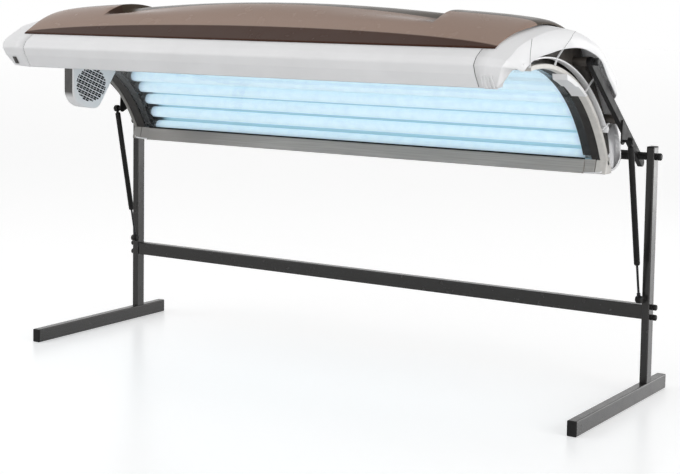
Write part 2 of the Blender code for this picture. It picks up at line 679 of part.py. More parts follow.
def cap_path():
    """Points round the canopy's outside, each with its share of the cap's curl and length, and its start."""
    lip = (LIP_HEEL, LIP_BOTTOM, LIP_CREASE, LIP_NOSE, LIP_BROW, LIP_TOP)
    points = [(*item, CAP_START) for item in zip(lip, LIP_CURL, LIP_LENGTH)]
    first = SKIN_FRONT_ANGLE - CAP_STEP
    count = int((first - SKIN_REAR_ANGLE) / CAP_STEP)
    for a in [first - CAP_STEP * i for i in range(count)] + [SKIN_REAR_ANGLE + SILL_MARGIN]:
        curl = 1.0 - CURL_SLOPE * max(0.0, a - CURL_FULL[0], CURL_FULL[1] - a)
        front, rear = a - LENGTH_FULL[0], LENGTH_FULL[1] - a
        length = 1.0 - max(0.0, front * LENGTH_SLOPES[0], rear * LENGTH_SLOPES[1])
        points.append((polar(OUTER_C, OUTER_R, a), curl, max(LENGTH_LEAST, length), CAP_START))
    for i, p in enumerate(sill_path()[:0:-1]):
        points.append((p, SILL_CURL[0] - SILL_CURL[1] * i, LENGTH_LEAST, SILL_HALF + GAP))
    return points


def end_cap(side, sign):
    """Curled rim, inner ring and ribs, open in the middle."""
    points = cap_path()
    path = [p for p, _, _, _ in points]
    stations = [(CAP_START, 0.0), (CAP_BEVEL, 0.0), (CAP_CREASE, CAP_BEVEL_DROP), (CAP_END, CAP_FACE_DROP)]
    columns = []
    for x, drop in stations:
        rim = offset(path, [drop * curl for _, curl, _, _ in points])
        t = (x - CAP_START) / (CAP_END - CAP_START)
        ends = [CAP_START + (CAP_END - CAP_START) * share for _, _, share, _ in points]
        xs = [start + (end - start) * t for (_, _, _, start), end in zip(points, ends)]
        columns.append([(sign * a, *p) for a, p in zip(xs, rim)])
    grid = list(zip(*columns))
    obj = sheet(side + "_end_cap", grid[::sign], CAP_WALL, WHITE, CANOPY)
    loop = sector(INNER_C, CAP_RING_R, CAP_RING_R + CAP_RING_T, *CAP_RING_ANGLES, 20)
    low, high = (sign * (PLATE_X + past) for past in CAP_RING_PAST)
    ring = extruded("cap_ring", [loop], low, high, WHITE, CANOPY)
    for angle in RIB_ANGLES:
        add(ring, cap_rib(angle, sign))
    add(obj, ring)


def reach(angle, inset):
    """Distance from the inner centre to the outer circle drawn in by inset."""
    dy, dz = OUTER_SHIFT
    b = math.cos(rad(angle)) * dy + math.sin(rad(angle)) * dz
    return b + math.sqrt(b * b - dy * dy - dz * dz + (OUTER_R - inset) ** 2)


def cap_rib(angle, sign):
    """Thin strut from the ring to the middle of the bevel's wall."""
    half = math.degrees(RIB_T / 2 / CAP_RING_R)
    bm = bmesh.new()
    for share in RIB_SPAN:
        x = CAP_BEVEL + (CAP_CREASE - CAP_BEVEL) * share
        tip = reach(angle, CAP_BEVEL_DROP * share + CAP_WALL / 2)
        for r in (CAP_RING_R + CAP_RING_T / 2, tip):
            for a in (angle - half, angle + half):
                bm.verts.new((sign * x, *polar(INNER_C, r, a)))
    bmesh.ops.convex_hull(bm, input=bm.verts)
    return part("cap_rib", mesh_of("cap_rib", bm), WHITE, CANOPY)


def end_plate(side, sign):
    """Steel end of the canopy with the lamp sockets and the two bosses that carry the arm."""
    low, high, front, rear = PLATE_ENDS
    outline = arc(INNER_C, PLATE_IN_R, SILL_ANGLE - low, LIP_ANGLE - high, 24)
    outline += arc(OUTER_C, OUTER_R - PLATE_INSET, SKIN_FRONT_ANGLE - front, SKIN_REAR_ANGLE - rear, 28)
    obj = extruded(side + "_end_plate", [outline], sign * PLATE_X, sign * PLATE_OUT, DARK_STEEL, CANOPY)
    face = LAMP_HALF + GAP
    inside = PLATE_X + PLATE_T / 2
    for a in LAMP_ANGLES:
        at = polar(INNER_C, LAMP_RING_R, a)
        add(obj, cylinder("socket", SOCKET_R, sign * face, sign * inside, at, DARK_STEEL, CANOPY))
        bore(obj, at, PLUG_R, sign * (face - PLUG_LENGTH), sign * (face + PLUG_LENGTH))
    for at in (ARM_TOP, ARM_PAD):
        add(obj, cylinder("boss", BOSS_R, sign * inside, sign * (ARM_IN - GAP), at, DARK_STEEL, CANOPY))
    bore(obj, ARM_TOP, ARM_BOLT_R, sign * (PLATE_OUT + BOLT_NOSE), sign * ARM_OUT)


def lamps():
    tip = LAMP_HALF + PLUG_LENGTH
    profile = [(tip, 0.0), (tip, PLUG_R), (LAMP_HALF, PLUG_R), (LAMP_HALF, LAMP_R)]
    profile += [(-z, r) for z, r in profile[::-1]]
    for i, a in enumerate(LAMP_ANGLES):
        at = (0.0, *polar(INNER_C, LAMP_RING_R, a))
        turned("lamp_%02d" % (i + 1), profile, LAMP, CANOPY, at, along_x(1))


def arch_trim(side, sign):
    inner = ACRYLIC_HALF + GAP
    low, high = SILL_ANGLE - FRAME_ENDS[0], LIP_ANGLE - FRAME_ENDS[1]
    frame = sector(INNER_C, FRAME_IN_R, PLATE_IN_R - GAP, low, high, 24)
    extruded(side + "_arch_frame", [frame], sign * inner, sign * (inner + FRAME_WIDTH), ALUMINIUM, CANOPY)
    low, high = SILL_ANGLE + COVER_ENDS[0], LIP_ANGLE - COVER_ENDS[1]
    cover_r = ACRYLIC_R + COVER_MORE
    cover = sector(INNER_C, cover_r, cover_r + COVER_T, low, high, 24)
    inner = ACRYLIC_HALF - COVER_WIDTH
    extruded(side + "_lamp_cover", [cover], sign * inner, sign * ACRYLIC_HALF, DARK, CANOPY)


def end_clip():
    """White clip under the right arch frame, thin and then thick."""
    low, high = CLIP_ANGLES
    loop = arc(INNER_C, FRAME_IN_R - GAP, low, high, 6)
    loop += arc(INNER_C, FRAME_IN_R - CLIP_T[1], high - 1, CLIP_STEP + 1, 3)
    loop += arc(INNER_C, FRAME_IN_R - CLIP_T[0], CLIP_STEP - 1, low + 1, 2)
    start, stop = (ACRYLIC_HALF + past for past in CLIP_SPAN)
    obj = extruded("end_clip", [loop], start, stop, WHITE, CANOPY)
    bevel = obj.modifiers.new("chamfer", "BEVEL")
    bevel.width = CLIP_CHAMFER
    bevel.segments = 1


def smooth(t):
    t = min(1.0, max(0.0, t))
    return t * t * (3 - 2 * t)


def shield_rise(x, a):
    """Height of the shield over the plain arc: wings that rise to scoops, and a crowned middle."""
    top = smooth((SHIELD_FRONT_ANGLE - a) / BROW_SPAN) * smooth((a - SHIELD_REAR_ANGLE) / TAIL_SPAN)
    if abs(x) >= VENT_X:
        return WING_RISE * top * ((SHIELD_HALF - abs(x)) / (SHIELD_HALF - VENT_X)) ** 0.8
    end = WING_RISE + (CROWN_END_RISE - WING_RISE) * smooth((SCOOP_ANGLE - a) / SCOOP_SPAN)
    return top * (CROWN_RISE + (end - CROWN_RISE) * (x / VENT_X) ** 2)


def top_shield():
    steps = 18
    wing = [VENT_X + (SHIELD_HALF - VENT_X) * k / 4 for k in range(5)]
    middle = [(VENT_X - VENT_RAMP) * k / 5 for k in range(6)]
    xs = [-x for x in wing[::-1] + middle[:0:-1]] + middle + wing
    grid = []
    for i in range(steps + 1):
        a = SHIELD_REAR_ANGLE + (SHIELD_FRONT_ANGLE - SHIELD_REAR_ANGLE) * i / steps
        r = OUTER_R + SHIELD_SEAT + SHIELD_T
        grid.append([(x, *polar(OUTER_C, r + shield_rise(x, a), a)) for x in xs[::-1]])
    sheet("top_shield", grid, SHIELD_T, BROWN, CANOPY)


def ballast_tray():
    low, high = BALLAST_ANGLES
    base = REFLECTOR_R + REFLECTOR_T + GAP
    plate = sector(INNER_C, base, base + TRAY_T, low, high, 8)
    obj = extruded("ballast_tray", [plate], -BALLAST_HALF, BALLAST_HALF, ZINC, CANOPY)
    block = sector(INNER_C, base + TRAY_T / 2, base + BALLAST_T, low + BALLAST_INSET, high - BALLAST_INSET, 2)
    pitch = 2 * BALLAST_HALF / BALLAST_COUNT
    half = pitch * BALLAST_SHARE / 2
    for i in range(BALLAST_COUNT):
        middle = (i + 0.5) * pitch - BALLAST_HALF
        add(obj, extruded("ballast", [block], middle - half, middle + half, ZINC, CANOPY))


def pod_outline():
    """Fan pod's outline about the fan's axis; its top follows the inside of the arch frame."""
    loop = []
    lean = rad(FAN_TURN)
    for i in range(7):
        t = POD_BACK - (POD_BACK + POD_FRONT) * i / 6
        y = FAN_C[1] + t * math.cos(lean) + FAN_DEPTH / 2 * abs(math.sin(lean)) - INNER_C[0]
        loop.append((t, INNER_C[1] + math.sqrt((FRAME_IN_R - GAP) ** 2 - y * y) - FAN_C[2]))
    corner = (POD_CORNER_R - POD_FRONT, POD_CORNER_R - POD_CORNER_DROP)
    heel = (POD_HEEL_SHIFT, POD_HEEL_R - POD_HEEL_DROP)
    return loop + arc(corner, POD_CORNER_R, 180, 262, 5) + arc(heel, POD_HEEL_R, 270, 325, 4)


def span_at(loop, z):
    """Leftmost and rightmost crossings of a closed loop at height z."""
    found = []
    for a, b in zip(loop, loop[1:] + loop[:1]):
        if (a[1] - z) * (b[1] - z) < 0:
            found.append(a[0] + (b[0] - a[0]) * (z - a[1]) / (b[1] - a[1]))
    return min(found), max(found)


def fan_slots(cover, back, face):
    """Two columns of slanted slots inside the round grille."""
    c, s = math.cos(rad(SLOT_TILT)), math.sin(rad(SLOT_TILT))
    for i in range(SLOT_ROWS):
        v = (i - (SLOT_ROWS - 1) / 2) * SLOT_PITCH
        length = math.sqrt(GRILLE_R ** 2 - v * v) - SLOT_RIB
        for side in (-1, 1):
            loop = rounded_rect((side * (SLOT_RIB + length) / 2, v), length, SLOT_HEIGHT, SLOT_HEIGHT / 3)
            loop = [(u * c - w * s, u * s + w * c) for u, w in loop]
            cut(cover, extruded("slot", [loop], back - FAN_COVER_T, face + FAN_COVER_T, WHITE, FAN))


def fan_pod():
    front = FAN_DEPTH / 2
    full = pod_outline()
    back, face = front + GAP, front + FAN_COVER_T
    fan_slots(extruded("fan_cover", [full], back, face, WHITE, FAN), back, face)
    inside = offset_loop(full, -FAN_WALL)
    extruded("fan_housing", [full, inside], -front, front, DARK, FAN)
    low, high = span_at(inside, -STRUT_HALF), span_at(inside, STRUT_HALF)
    left, right = max(low[0], high[0]) + GAP, min(low[1], high[1]) - GAP
    bar = [(left, -STRUT_HALF), (right, -STRUT_HALF), (right, STRUT_HALF), (left, STRUT_HALF)]
    strut = extruded("fan_motor", [bar], -front, STRUT_T - front, DARK, FAN)
    root = STRUT_T / 2 - front
    profile = [(SHAFT_TIP, 0.0), (SHAFT_TIP, SHAFT_R), (MOTOR_FRONT, SHAFT_R), (MOTOR_FRONT, MOTOR_R)]
    profile += [(root, MOTOR_R), (root, 0.0)]
    add(strut, turned("motor_body", profile, DARK, FAN, turn=along_x(1)))


def fan_blade(angle):
    """Flat blade, pitched across the hub's width."""
    inner, outer = HUB_R - BLADE_ROOT, FAN_R
    bm = bmesh.new()
    bmesh.ops.create_cube(bm, size=1.0)
    bmesh.ops.scale(bm, vec=(BLADE_T, BLADE_CHORD, outer - inner), verts=bm.verts)
    bmesh.ops.rotate(bm, matrix=Matrix.Rotation(rad(BLADE_PITCH), 3, "Z"), verts=bm.verts)
    bmesh.ops.translate(bm, vec=(BLADE_X, 0.0, (inner + outer) / 2), verts=bm.verts)
    return part("blade", mesh_of("blade", bm), BLACK, FAN, turn=(rad(angle), 0.0, 0.0))


def fan_rotor():
    back, nose = MOTOR_FRONT + RUN, HUB_FRONT + HUB_NOSE
    profile = [(nose, 0.0), (nose, HUB_R * KNOB_TAPER), (HUB_FRONT, HUB_R), (back, HUB_R), (back, 0.0)]
    rotor = turned("fan_rotor", profile, BLACK, FAN, turn=along_x(1))
    for i in range(BLADES):
        add(rotor, fan_blade(360 * i / BLADES))
    bore(rotor, (0.0, 0.0), SHAFT_R, back - FAN_COVER_T, SHAFT_TIP + RUN)


for side, sign in SIDES:
    foot(side, sign)
    post(side, sign)
    post_bolts(side, sign)
    arm(side, sign)
    gas_spring(side, sign)
    arm_bolt(side, sign)
    end_plate(side, sign)
    end_cap(side, sign)
    arch_trim(side, sign)
crossbar()
torsion_tube()
lamp_skins()
rear_profile()
front_lip()
top_shield()
lamps()
ballast_tray()
end_clip()
fan_pod()
fan_rotor()
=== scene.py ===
"""Looks of the half-body tanning canopy: fine shapes, finishes, light and camera around the fixed frame."""
import json
import math

import bmesh
import bpy
from mathutils import Matrix, Vector

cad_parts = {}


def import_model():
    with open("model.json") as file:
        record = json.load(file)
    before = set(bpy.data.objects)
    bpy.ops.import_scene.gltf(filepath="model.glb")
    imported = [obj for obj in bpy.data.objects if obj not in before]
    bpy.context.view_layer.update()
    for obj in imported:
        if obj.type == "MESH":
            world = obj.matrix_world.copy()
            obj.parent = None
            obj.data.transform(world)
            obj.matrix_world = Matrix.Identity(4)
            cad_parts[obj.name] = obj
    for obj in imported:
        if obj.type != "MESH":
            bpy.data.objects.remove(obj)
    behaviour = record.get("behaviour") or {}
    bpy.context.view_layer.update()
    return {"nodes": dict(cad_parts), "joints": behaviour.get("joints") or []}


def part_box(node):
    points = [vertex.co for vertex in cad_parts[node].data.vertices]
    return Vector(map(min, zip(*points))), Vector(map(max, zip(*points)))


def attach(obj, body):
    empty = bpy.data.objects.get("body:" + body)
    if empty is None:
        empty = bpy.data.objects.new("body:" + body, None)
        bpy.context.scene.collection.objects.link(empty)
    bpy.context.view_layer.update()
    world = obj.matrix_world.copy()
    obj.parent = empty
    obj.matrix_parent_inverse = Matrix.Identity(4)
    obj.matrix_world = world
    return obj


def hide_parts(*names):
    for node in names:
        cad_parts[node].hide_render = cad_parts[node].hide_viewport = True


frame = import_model()
NODES = frame["nodes"]
JOINTS = {joint["name"]: joint for joint in frame["joints"]}

# Canopy section in the YZ plane of the frame, round the axle of the canopy's hinge
AXLE = tuple(JOINTS["canopy_lift"]["pos_m"][1:])
REAR_BACK = 0.0325
REAR_RISE = 0.0436
ACRYLIC_R = 0.535
ACRYLIC_T = 0.003
OUTER_R = 0.515
OUTER_SHIFT = (0.090, 0.140)
SKIN_T = 0.003
SKIN_REAR_ANGLE = 17.0
SKIN_FRONT_ANGLE = 120.6
SEAM_ANGLE = 0.05
SILL_ANGLE = 26.5
SILL_STEP = (-0.0128, -0.0427)
SILL_CORNER_R = 0.030
SILL_FLARE = 0.007
SILL_T = 0.004
LIP_ANGLE = 106.5
LIP_SHOULDER = 0.065
LIP_STEPS = {"heel": (-0.005, -0.033), "bottom": (-0.025, -0.030), "crease": (-0.049, 0.006),
             "nose": (-0.060, 0.033), "brow": (-0.045, 0.054)}
LIP_FILLETS = (0.003, 0.006, 0.004, 0.012, 0.016)
LAMP_RING_R = 0.575
LAMP_R = 0.019
LAMP_FIRST = 25.4
LAMP_PITCH = 5.9
LAMP_COUNT = 12
REFLECTOR_R = 0.600
REFLECTOR_T = 0.0012
FRAME_IN_R = 0.533
PLATE_IN_R = 0.5475
PLATE_INSET = 0.0185
PLATE_ENDS = (3.7, 1.5, 4.6, 4.5)   # degrees past the sill, short of lip and skin, and past the skin's rear
COVER_R = 0.541
COVER_T = 0.0025
CAP_RING_R = 0.562
CAP_RING_T = 0.005
CAP_RING_ANGLES = (36.0, 104.0)
CAP_WALL = 0.004
RIB_ANGLES = (99.5, 82.0, 57.0, 38.0)

# Along the length
GAP = 0.0003
LIP_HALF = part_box("front_lip")[1].x
ACRYLIC_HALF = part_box("acrylic_sheet")[1].x
LAMP_HALF = 0.8745
PLATE_X = 0.895
PLATE_T = 0.003
ARM_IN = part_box("torsion_tube")[1].x + GAP
ARM_OUT = ARM_IN + 0.016
SILL_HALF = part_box("rear_profile")[1].x
SEAM_WIDTH = 0.0026
CAP_START = LIP_HALF + SEAM_WIDTH
CAP_END = 0.995
CAP_BEVEL = 0.885
CAP_CREASE = ((0.976, 0.020), (0.957, 0.012))   # X and drop at the edge of a narrow and of a broad face
CAP_RIM_DROP = 0.062
CAP_RING_PAST = (0.029, 0.050)      # ends of the ring past the end plate
CAP_FILLETS = (0.022, 0.003)
SHIELD_HALF = 0.870
SHIELD_ANGLES = (58.0, 119.3)
VENT_X = 0.620
VENT_RAMP = 0.012

SIDES = (("left", -1), ("right", 1))


def polar(centre, r, a):
    return (centre[0] + r * math.cos(math.radians(a)), centre[1] + r * math.sin(math.radians(a)))


def shifted(point, step):
    return (point[0] + step[0], point[1] + step[1])


def arc(centre, r, a0, a1, steps):
    return [polar(centre, r, a0 + (a1 - a0) * i / steps) for i in range(steps + 1)]


OUTER_C = shifted(shifted(AXLE, (-REAR_BACK, REAR_RISE)), polar((0.0, 0.0), -OUTER_R, SKIN_REAR_ANGLE))
INNER_C = shifted(OUTER_C, (-OUTER_SHIFT[0], -OUTER_SHIFT[1]))
LIP_EDGE = polar(INNER_C, ACRYLIC_R, LIP_ANGLE)
LIP = {name: shifted(LIP_EDGE, step) for name, step in LIP_STEPS.items()}
LIP_TOP = polar(OUTER_C, OUTER_R, SKIN_FRONT_ANGLE)
LAMP_ANGLES = [LAMP_FIRST + LAMP_PITCH * i for i in range(LAMP_COUNT)]


def smooth(t):
    t = min(1.0, max(0.0, t))
    return t * t * (3 - 2 * t)


# Finishes

REFLECTION_BAND_HEIGHT = 0.044     # height of the painted dark reflection band over the shield's front edge, at the middle
REFLECTION_BAND_HALF = 0.9         # half the length in which that band narrows to nothing
CREST_SHADE_EDGE = (-0.241, -0.238)       # Y where painted shade darkens the shield behind its crest
SCOOP_SHADOW_EDGE = (-0.335, -0.305)      # Y where the painted shadow in each scoop begins
FAN_DARK = (0.873, 0.893)           # Z where the fan's side turns from white to dark
LAMP_FADE = (0.825, 0.866)          # distance from a lamp's middle where it dims
NOISE_SPAN = (0.3, 0.7)             # part of the noise that roughness follows


def linear(value):
    value /= 255
    return value / 12.92 if value <= 0.04045 else ((value + 0.055) / 1.055) ** 2.4


def rgb(r, g, b):
    return (linear(r), linear(g), linear(b), 1.0)


class Graph:
    """Node tree whose inputs are set to constants or linked to outputs."""

    def __init__(self, tree):
        self.nodes, self.links = tree.nodes, tree.links

    def put(self, item, socket):
        if isinstance(item, (float, tuple)):
            socket.default_value = item
        else:
            self.links.new(item, socket)

    def fill(self, node, **inputs):
        for name, item in inputs.items():
            self.put(item, node.inputs[name.replace("_", " ")])

    def node(self, kind, **inputs):
        node = self.nodes.new("ShaderNode" + kind)
        self.fill(node, **inputs)
        return node

    def math(self, operation, *items):
        node = self.node("Math")
        node.operation = operation
        for item, socket in zip(items, node.inputs):
            self.put(item, socket)
        return node.outputs["Value"]

    def span(self, factor, low, high, start=0.0, stop=1.0):
        """A range of a factor carried to another range, and held past its ends."""
        node = self.node("MapRange", Value=factor, From_Min=low, From_Max=high, To_Min=start, To_Max=stop)
        return node.outputs["Result"]

    def seen(self):
        """1 for rays that show the background: camera, glossy and transmission rays."""
        path = self.node("LightPath")
        total = path.outputs["Is Camera Ray"]
        for name in ("Is Glossy Ray", "Is Transmission Ray"):
            total = self.math("MAXIMUM", total, path.outputs[name])
        return total


class Finish(Graph):
    """A Principled material with noise in the piece's own coordinates."""

    def __init__(self, name):
        self.mat = bpy.data.materials.new(name)
        self.mat.use_nodes = True
        super().__init__(self.mat.node_tree)

    def set(self, **sockets):
        self.fill(self.nodes["Principled BSDF"], **sockets)

    def look(self, colour, roughness, **sockets):
        self.set(Base_Color=colour, Roughness=roughness, **sockets)

    def own(self):
        return self.node("TexCoord").outputs["Object"]

    def place(self, axis):
        """The piece's own X, Y or Z."""
        return self.node("SeparateXYZ", Vector=self.own()).outputs[axis]

    def noise(self, scale, detail=3.0, stretch=(1.0, 1.0, 1.0)):
        mapped = self.node("Mapping", Vector=self.own(), Scale=stretch).outputs["Vector"]
        return self.node("TexNoise", Vector=mapped, Scale=scale, Detail=detail).outputs["Fac"]

    def ramp(self, factor, low, high, start=0.35, stop=0.65):
        node = self.node("ValToRGB", Fac=factor)
        for element, position, tone in zip(node.color_ramp.elements, (start, stop), (low, high)):
            element.position = position
            element.color = tone
        return node.outputs["Color"]

    def mix(self, factor, a, b):
        node = self.node("Mix")
        node.data_type = "RGBA"
        self.fill(node, Factor=factor, A=a, B=b)
        return node.outputs["Result"]

    def colour(self, factor, low, high):
        self.set(Base_Color=self.ramp(factor, low, high))

    def fade(self, axis, ends, tone, other):
        """Colour that turns from one tone to the other between two places on an axis."""
        self.set(Base_Color=self.mix(self.span(self.place(axis), *ends), tone, other))

    def roughness(self, factor, low, high):
        self.set(Roughness=self.span(factor, *NOISE_SPAN, low, high))

    def bump(self, factor, strength, distance):
        node = self.node("Bump", Height=factor, Strength=strength, Distance=distance)
        self.set(Normal=node.outputs["Normal"])


def grey_steel(f):
    """Dark grey metallic powder coat: fine flake and a slight orange peel."""
    f.look(rgb(36, 35, 34), 0.22, Metallic=0.2, Coat_Weight=0.10, Coat_Roughness=0.10,
           Specular_IOR_Level=0.35)
    f.colour(f.noise(1400.0, 2.0), rgb(31, 30, 29), rgb(42, 41, 40))
    f.roughness(f.noise(35.0), 0.18, 0.28)
    f.bump(f.noise(700.0, 2.0), 0.10, 0.0003)


def black_plastic(f):
    f.look(rgb(16, 16, 16), 0.46, Specular_IOR_Level=0.2)
    f.colour(f.noise(60.0), rgb(13, 13, 13), rgb(21, 21, 21))
    f.roughness(f.noise(120.0), 0.40, 0.56)
    f.bump(f.noise(1800.0, 1.0), 0.25, 0.0003)


def black_steel(f):
    f.look(rgb(20, 20, 20), 0.48, Specular_IOR_Level=0.14)
    f.colour(f.noise(90.0), rgb(17, 17, 17), rgb(25, 24, 24))
    f.roughness(f.noise(40.0), 0.42, 0.55)
    f.bump(f.noise(900.0, 2.0), 0.12, 0.0003)


def bright_rod(f):
    f.look(rgb(42, 42, 44), 0.20, Metallic=1.0)
    f.roughness(f.noise(300.0, 2.0, (1.0, 1.0, 8.0)), 0.14, 0.28)


def white_plastic(f):
    f.look(rgb(236, 236, 237), 0.42)
    f.colour(f.noise(7.0), rgb(234, 234, 235), rgb(239, 239, 240))
    f.roughness(f.noise(25.0), 0.37, 0.47)
    f.bump(f.noise(420.0, 2.0), 0.03, 0.0003)


def seam_grey(f):
    f.look(rgb(58, 56, 54), 0.6)
    f.colour(f.noise(80.0), rgb(52, 50, 48), rgb(66, 64, 62))


def brown_shield(f):
    """Bronze plastic with painted light: a lighter painted reflection above a dark painted reflection band
    along the front edge that narrows to both ends, painted shadow in the scoops and painted shade behind the
    crest.
    """
    f.look(rgb(112, 92, 82), 0.24, Coat_Weight=0.02, Coat_Roughness=0.12,
           Specular_IOR_Level=0.06)
    x, y, z = (f.place(axis) for axis in "XYZ")
    along = f.math("MULTIPLY", x, 1 / REFLECTION_BAND_HALF)
    rest = f.math("SUBTRACT", 1.0, f.math("MULTIPLY", along, along))
    height = f.math("POWER", f.math("MAXIMUM", rest, 0.0), 0.6)
    seam = polar(OUTER_C, OUTER_R, SHIELD_ANGLES[1])[1]
    over = f.math("SUBTRACT", z, f.math("MULTIPLY_ADD", height, REFLECTION_BAND_HEIGHT, seam))
    # painted reflection: the lighter upper brown stands for a softbox seen in the glossy top, and the dark
    # brown under the band's edge for a dark reflection on the steeper front
    upper = f.ramp(f.noise(900.0, 2.0), rgb(153, 130, 117), rgb(163, 140, 127))
    lower = f.mix(f.span(over, -0.0015, 0.0015), rgb(64, 38, 25), upper)
    # painted shadow in each scoop, where the wing's inner edge overhangs it
    past = f.math("SUBTRACT", VENT_X, f.math("ABSOLUTE", x))
    scoop_shadow = f.math("SUBTRACT", f.span(past, 0.0, 0.002), f.span(past, 0.012, 0.070))
    scoop_shadow = f.math("MULTIPLY", f.math("MAXIMUM", scoop_shadow, 0.0), f.span(y, *SCOOP_SHADOW_EDGE))
    scoop = f.mix(scoop_shadow, lower, rgb(66, 48, 38))
    # painted shade: the shield turns dark behind its crest, where it curves away from the light
    f.set(Base_Color=f.mix(f.span(y, *CREST_SHADE_EDGE), scoop, rgb(70, 59, 47)))
    f.roughness(f.noise(18.0), 0.20, 0.29)


def grey_profile(f):
    """Extruded aluminium, brushed along its length, with painted shade darkening its left end."""
    f.look(rgb(166, 163, 159), 0.42, Metallic=0.5)
    lines = f.noise(500.0, 2.0, (0.01, 1.0, 1.0))
    light = f.ramp(lines, rgb(157, 154, 150), rgb(175, 172, 168))
    # painted shade: the profile darkens toward its left end
    f.fade("X", (-0.95, -0.25), rgb(98, 97, 95), light)
    f.roughness(lines, 0.38, 0.52)
    f.bump(lines, 0.06, 0.0002)


def reflector(f):
    f.look(rgb(214, 234, 238), 0.4, Metallic=1.0)
    f.roughness(f.noise(300.0, 2.0, (0.02, 1.0, 1.0)), 0.36, 0.50)


def acrylic(f):
    f.look(rgb(242, 248, 252), 0.03, IOR=1.14, Transmission_Weight=1.0)
    f.roughness(f.noise(6.0), 0.02, 0.05)


def lamp_glass(f):
    """Lit phosphor tube, cooler and dimmer at its two ends."""
    f.look(rgb(214, 232, 246), 0.35, Emission_Strength=0.58)
    along = f.math("ABSOLUTE", f.place("X"))
    glow = f.ramp(along, rgb(202, 222, 231), rgb(92, 112, 130), *LAMP_FADE)
    f.set(Emission_Color=glow)
    f.colour(f.noise(30.0), rgb(194, 205, 210), rgb(205, 215, 219))


def pale_frame(f):
    """Light grey painted strip along the arch, with painted shade darkening its left end."""
    f.look(rgb(196, 193, 188), 0.42)
    light = f.ramp(f.noise(60.0), rgb(206, 203, 198), rgb(214, 211, 206))
    # painted shade: the strip darkens toward its left end
    f.fade("X", (-0.5, 0.5), rgb(128, 126, 122), light)
    f.roughness(f.noise(90.0), 0.36, 0.50)


def fan_shell(f):
    """Fan housing: dark side, and white where the cover wraps round below."""
    f.look(rgb(80, 77, 74), 0.45)
    dark = f.ramp(f.noise(40.0), rgb(52, 50, 48), rgb(64, 62, 59))
    f.fade("Z", FAN_DARK, rgb(234, 234, 235), dark)
    f.roughness(f.noise(90.0), 0.36, 0.5)


def dark_panel(f):
    f.look(rgb(40, 38, 37), 0.5, Specular_IOR_Level=0.25)
    f.colour(f.noise(40.0), rgb(35, 33, 32), rgb(47, 45, 43))
    f.roughness(f.noise(90.0), 0.42, 0.6)
    f.bump(f.noise(1500.0, 1.0), 0.2, 0.0003)


def dark_steel(f):
    f.look(rgb(58, 53, 49), 0.5, Metallic=0.2)
    f.colour(f.noise(25.0), rgb(50, 46, 42), rgb(68, 63, 58))
    f.roughness(f.noise(60.0), 0.42, 0.6)


def zinc_plate(f):
    """Zinc plating with its soft spangle."""
    f.look(rgb(160, 160, 162), 0.42, Metallic=0.9)
    f.colour(f.noise(45.0, 4.0), rgb(142, 142, 145), rgb(178, 178, 180))
    f.roughness(f.noise(45.0, 4.0), 0.34, 0.52)


def made(make):
    finish = Finish(make.__name__)
    make(finish)
    return finish.mat


MATS = {make.__name__: made(make) for make in (
    grey_steel, black_plastic, black_steel, bright_rod, white_plastic, seam_grey, brown_shield, grey_profile,
    reflector, acrylic, lamp_glass, pale_frame, fan_shell, dark_panel, dark_steel, zinc_plate)}


# Mesh tools

AXIS_R = 0.0005     # least radius of a turned piece, at its axis
EDGE_R = 0.0006     # rounding of small edges
TURNED_SIDES = 40


def piece(name, bm, finish, body="canopy", nodes=(), sharp=35.0, bevel=0.0):
    """Turns a bmesh into a shown piece that rides on a body and stands for CAD nodes."""
    mesh = bpy.data.meshes.new(name)
    bm.to_mesh(mesh)
    bm.free()
    mesh.materials.append(MATS[finish])
    mesh.shade_smooth()
    mesh.set_sharp_from_angle(angle=math.radians(sharp))
    obj = bpy.data.objects.new(name, mesh)
    bpy.context.scene.collection.objects.link(obj)
    if bevel:
        edge = obj.modifiers.new("edges", "BEVEL")
        edge.width = bevel
        edge.segments = 3
        edge.limit_method = "ANGLE"
        edge.angle_limit = math.radians(sharp)
        edge.harden_normals = True
    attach(obj, body)
    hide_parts(*nodes)
    return obj


def stand_in(name, bm, finish, body="canopy", **edges):
    """Piece that stands for the CAD node of its own name."""
    return piece(name, bm, finish, body, [name], **edges)


def grid(rows, ring=False, capped=False, bm=None):
    """Quads through rows of points; ring joins each row's ends, capped closes the first and last rows."""
    bm = bm or bmesh.new()
    lines = [[bm.verts.new(p) for p in row] for row in rows]
    faces = []
    for a, b in zip(lines, lines[1:]):
        count = len(a)
        for i in range(count if ring else count - 1):
            j = (i + 1) % count
            faces.append(bm.faces.new((a[i], a[j], b[j], b[i])))
    if capped:
        faces.append(bm.faces.new(lines[0][::-1]))
        faces.append(bm.faces.new(lines[-1]))
        bmesh.ops.recalc_face_normals(bm, faces=faces)
    return bm


def solid(rows, bm=None):
    """Closed skin through rings of points, with both ends closed."""
    return grid(rows, ring=True, capped=True, bm=bm)


def pipe(rows):
    """Closed skin through rings of points, from the last ring back to the first."""
    bm = grid(rows + rows[:1], ring=True)
    bmesh.ops.remove_doubles(bm, verts=bm.verts, dist=1e-6)
    bmesh.ops.recalc_face_normals(bm, faces=bm.faces)
    return bm


def prism(outline, x0, x1):
    """Outline in the YZ plane drawn out along X."""
    return solid([[(x, *p) for p in outline] for x in (x0, x1)])


def held(loop, hold=0.0008):
    """Closed loop with two more points on each long side, so that smooth shading leaves the flats flat."""
    out = []
    for a, b in zip(loop, loop[1:] + loop[:1]):
        out.append(a)
        size = math.dist(a, b)
        if size > 4 * hold:
            for t in (hold / size, 1 - hold / size):
                out.append(tuple(p + (q - p) * t for p, q in zip(a, b)))
    return out


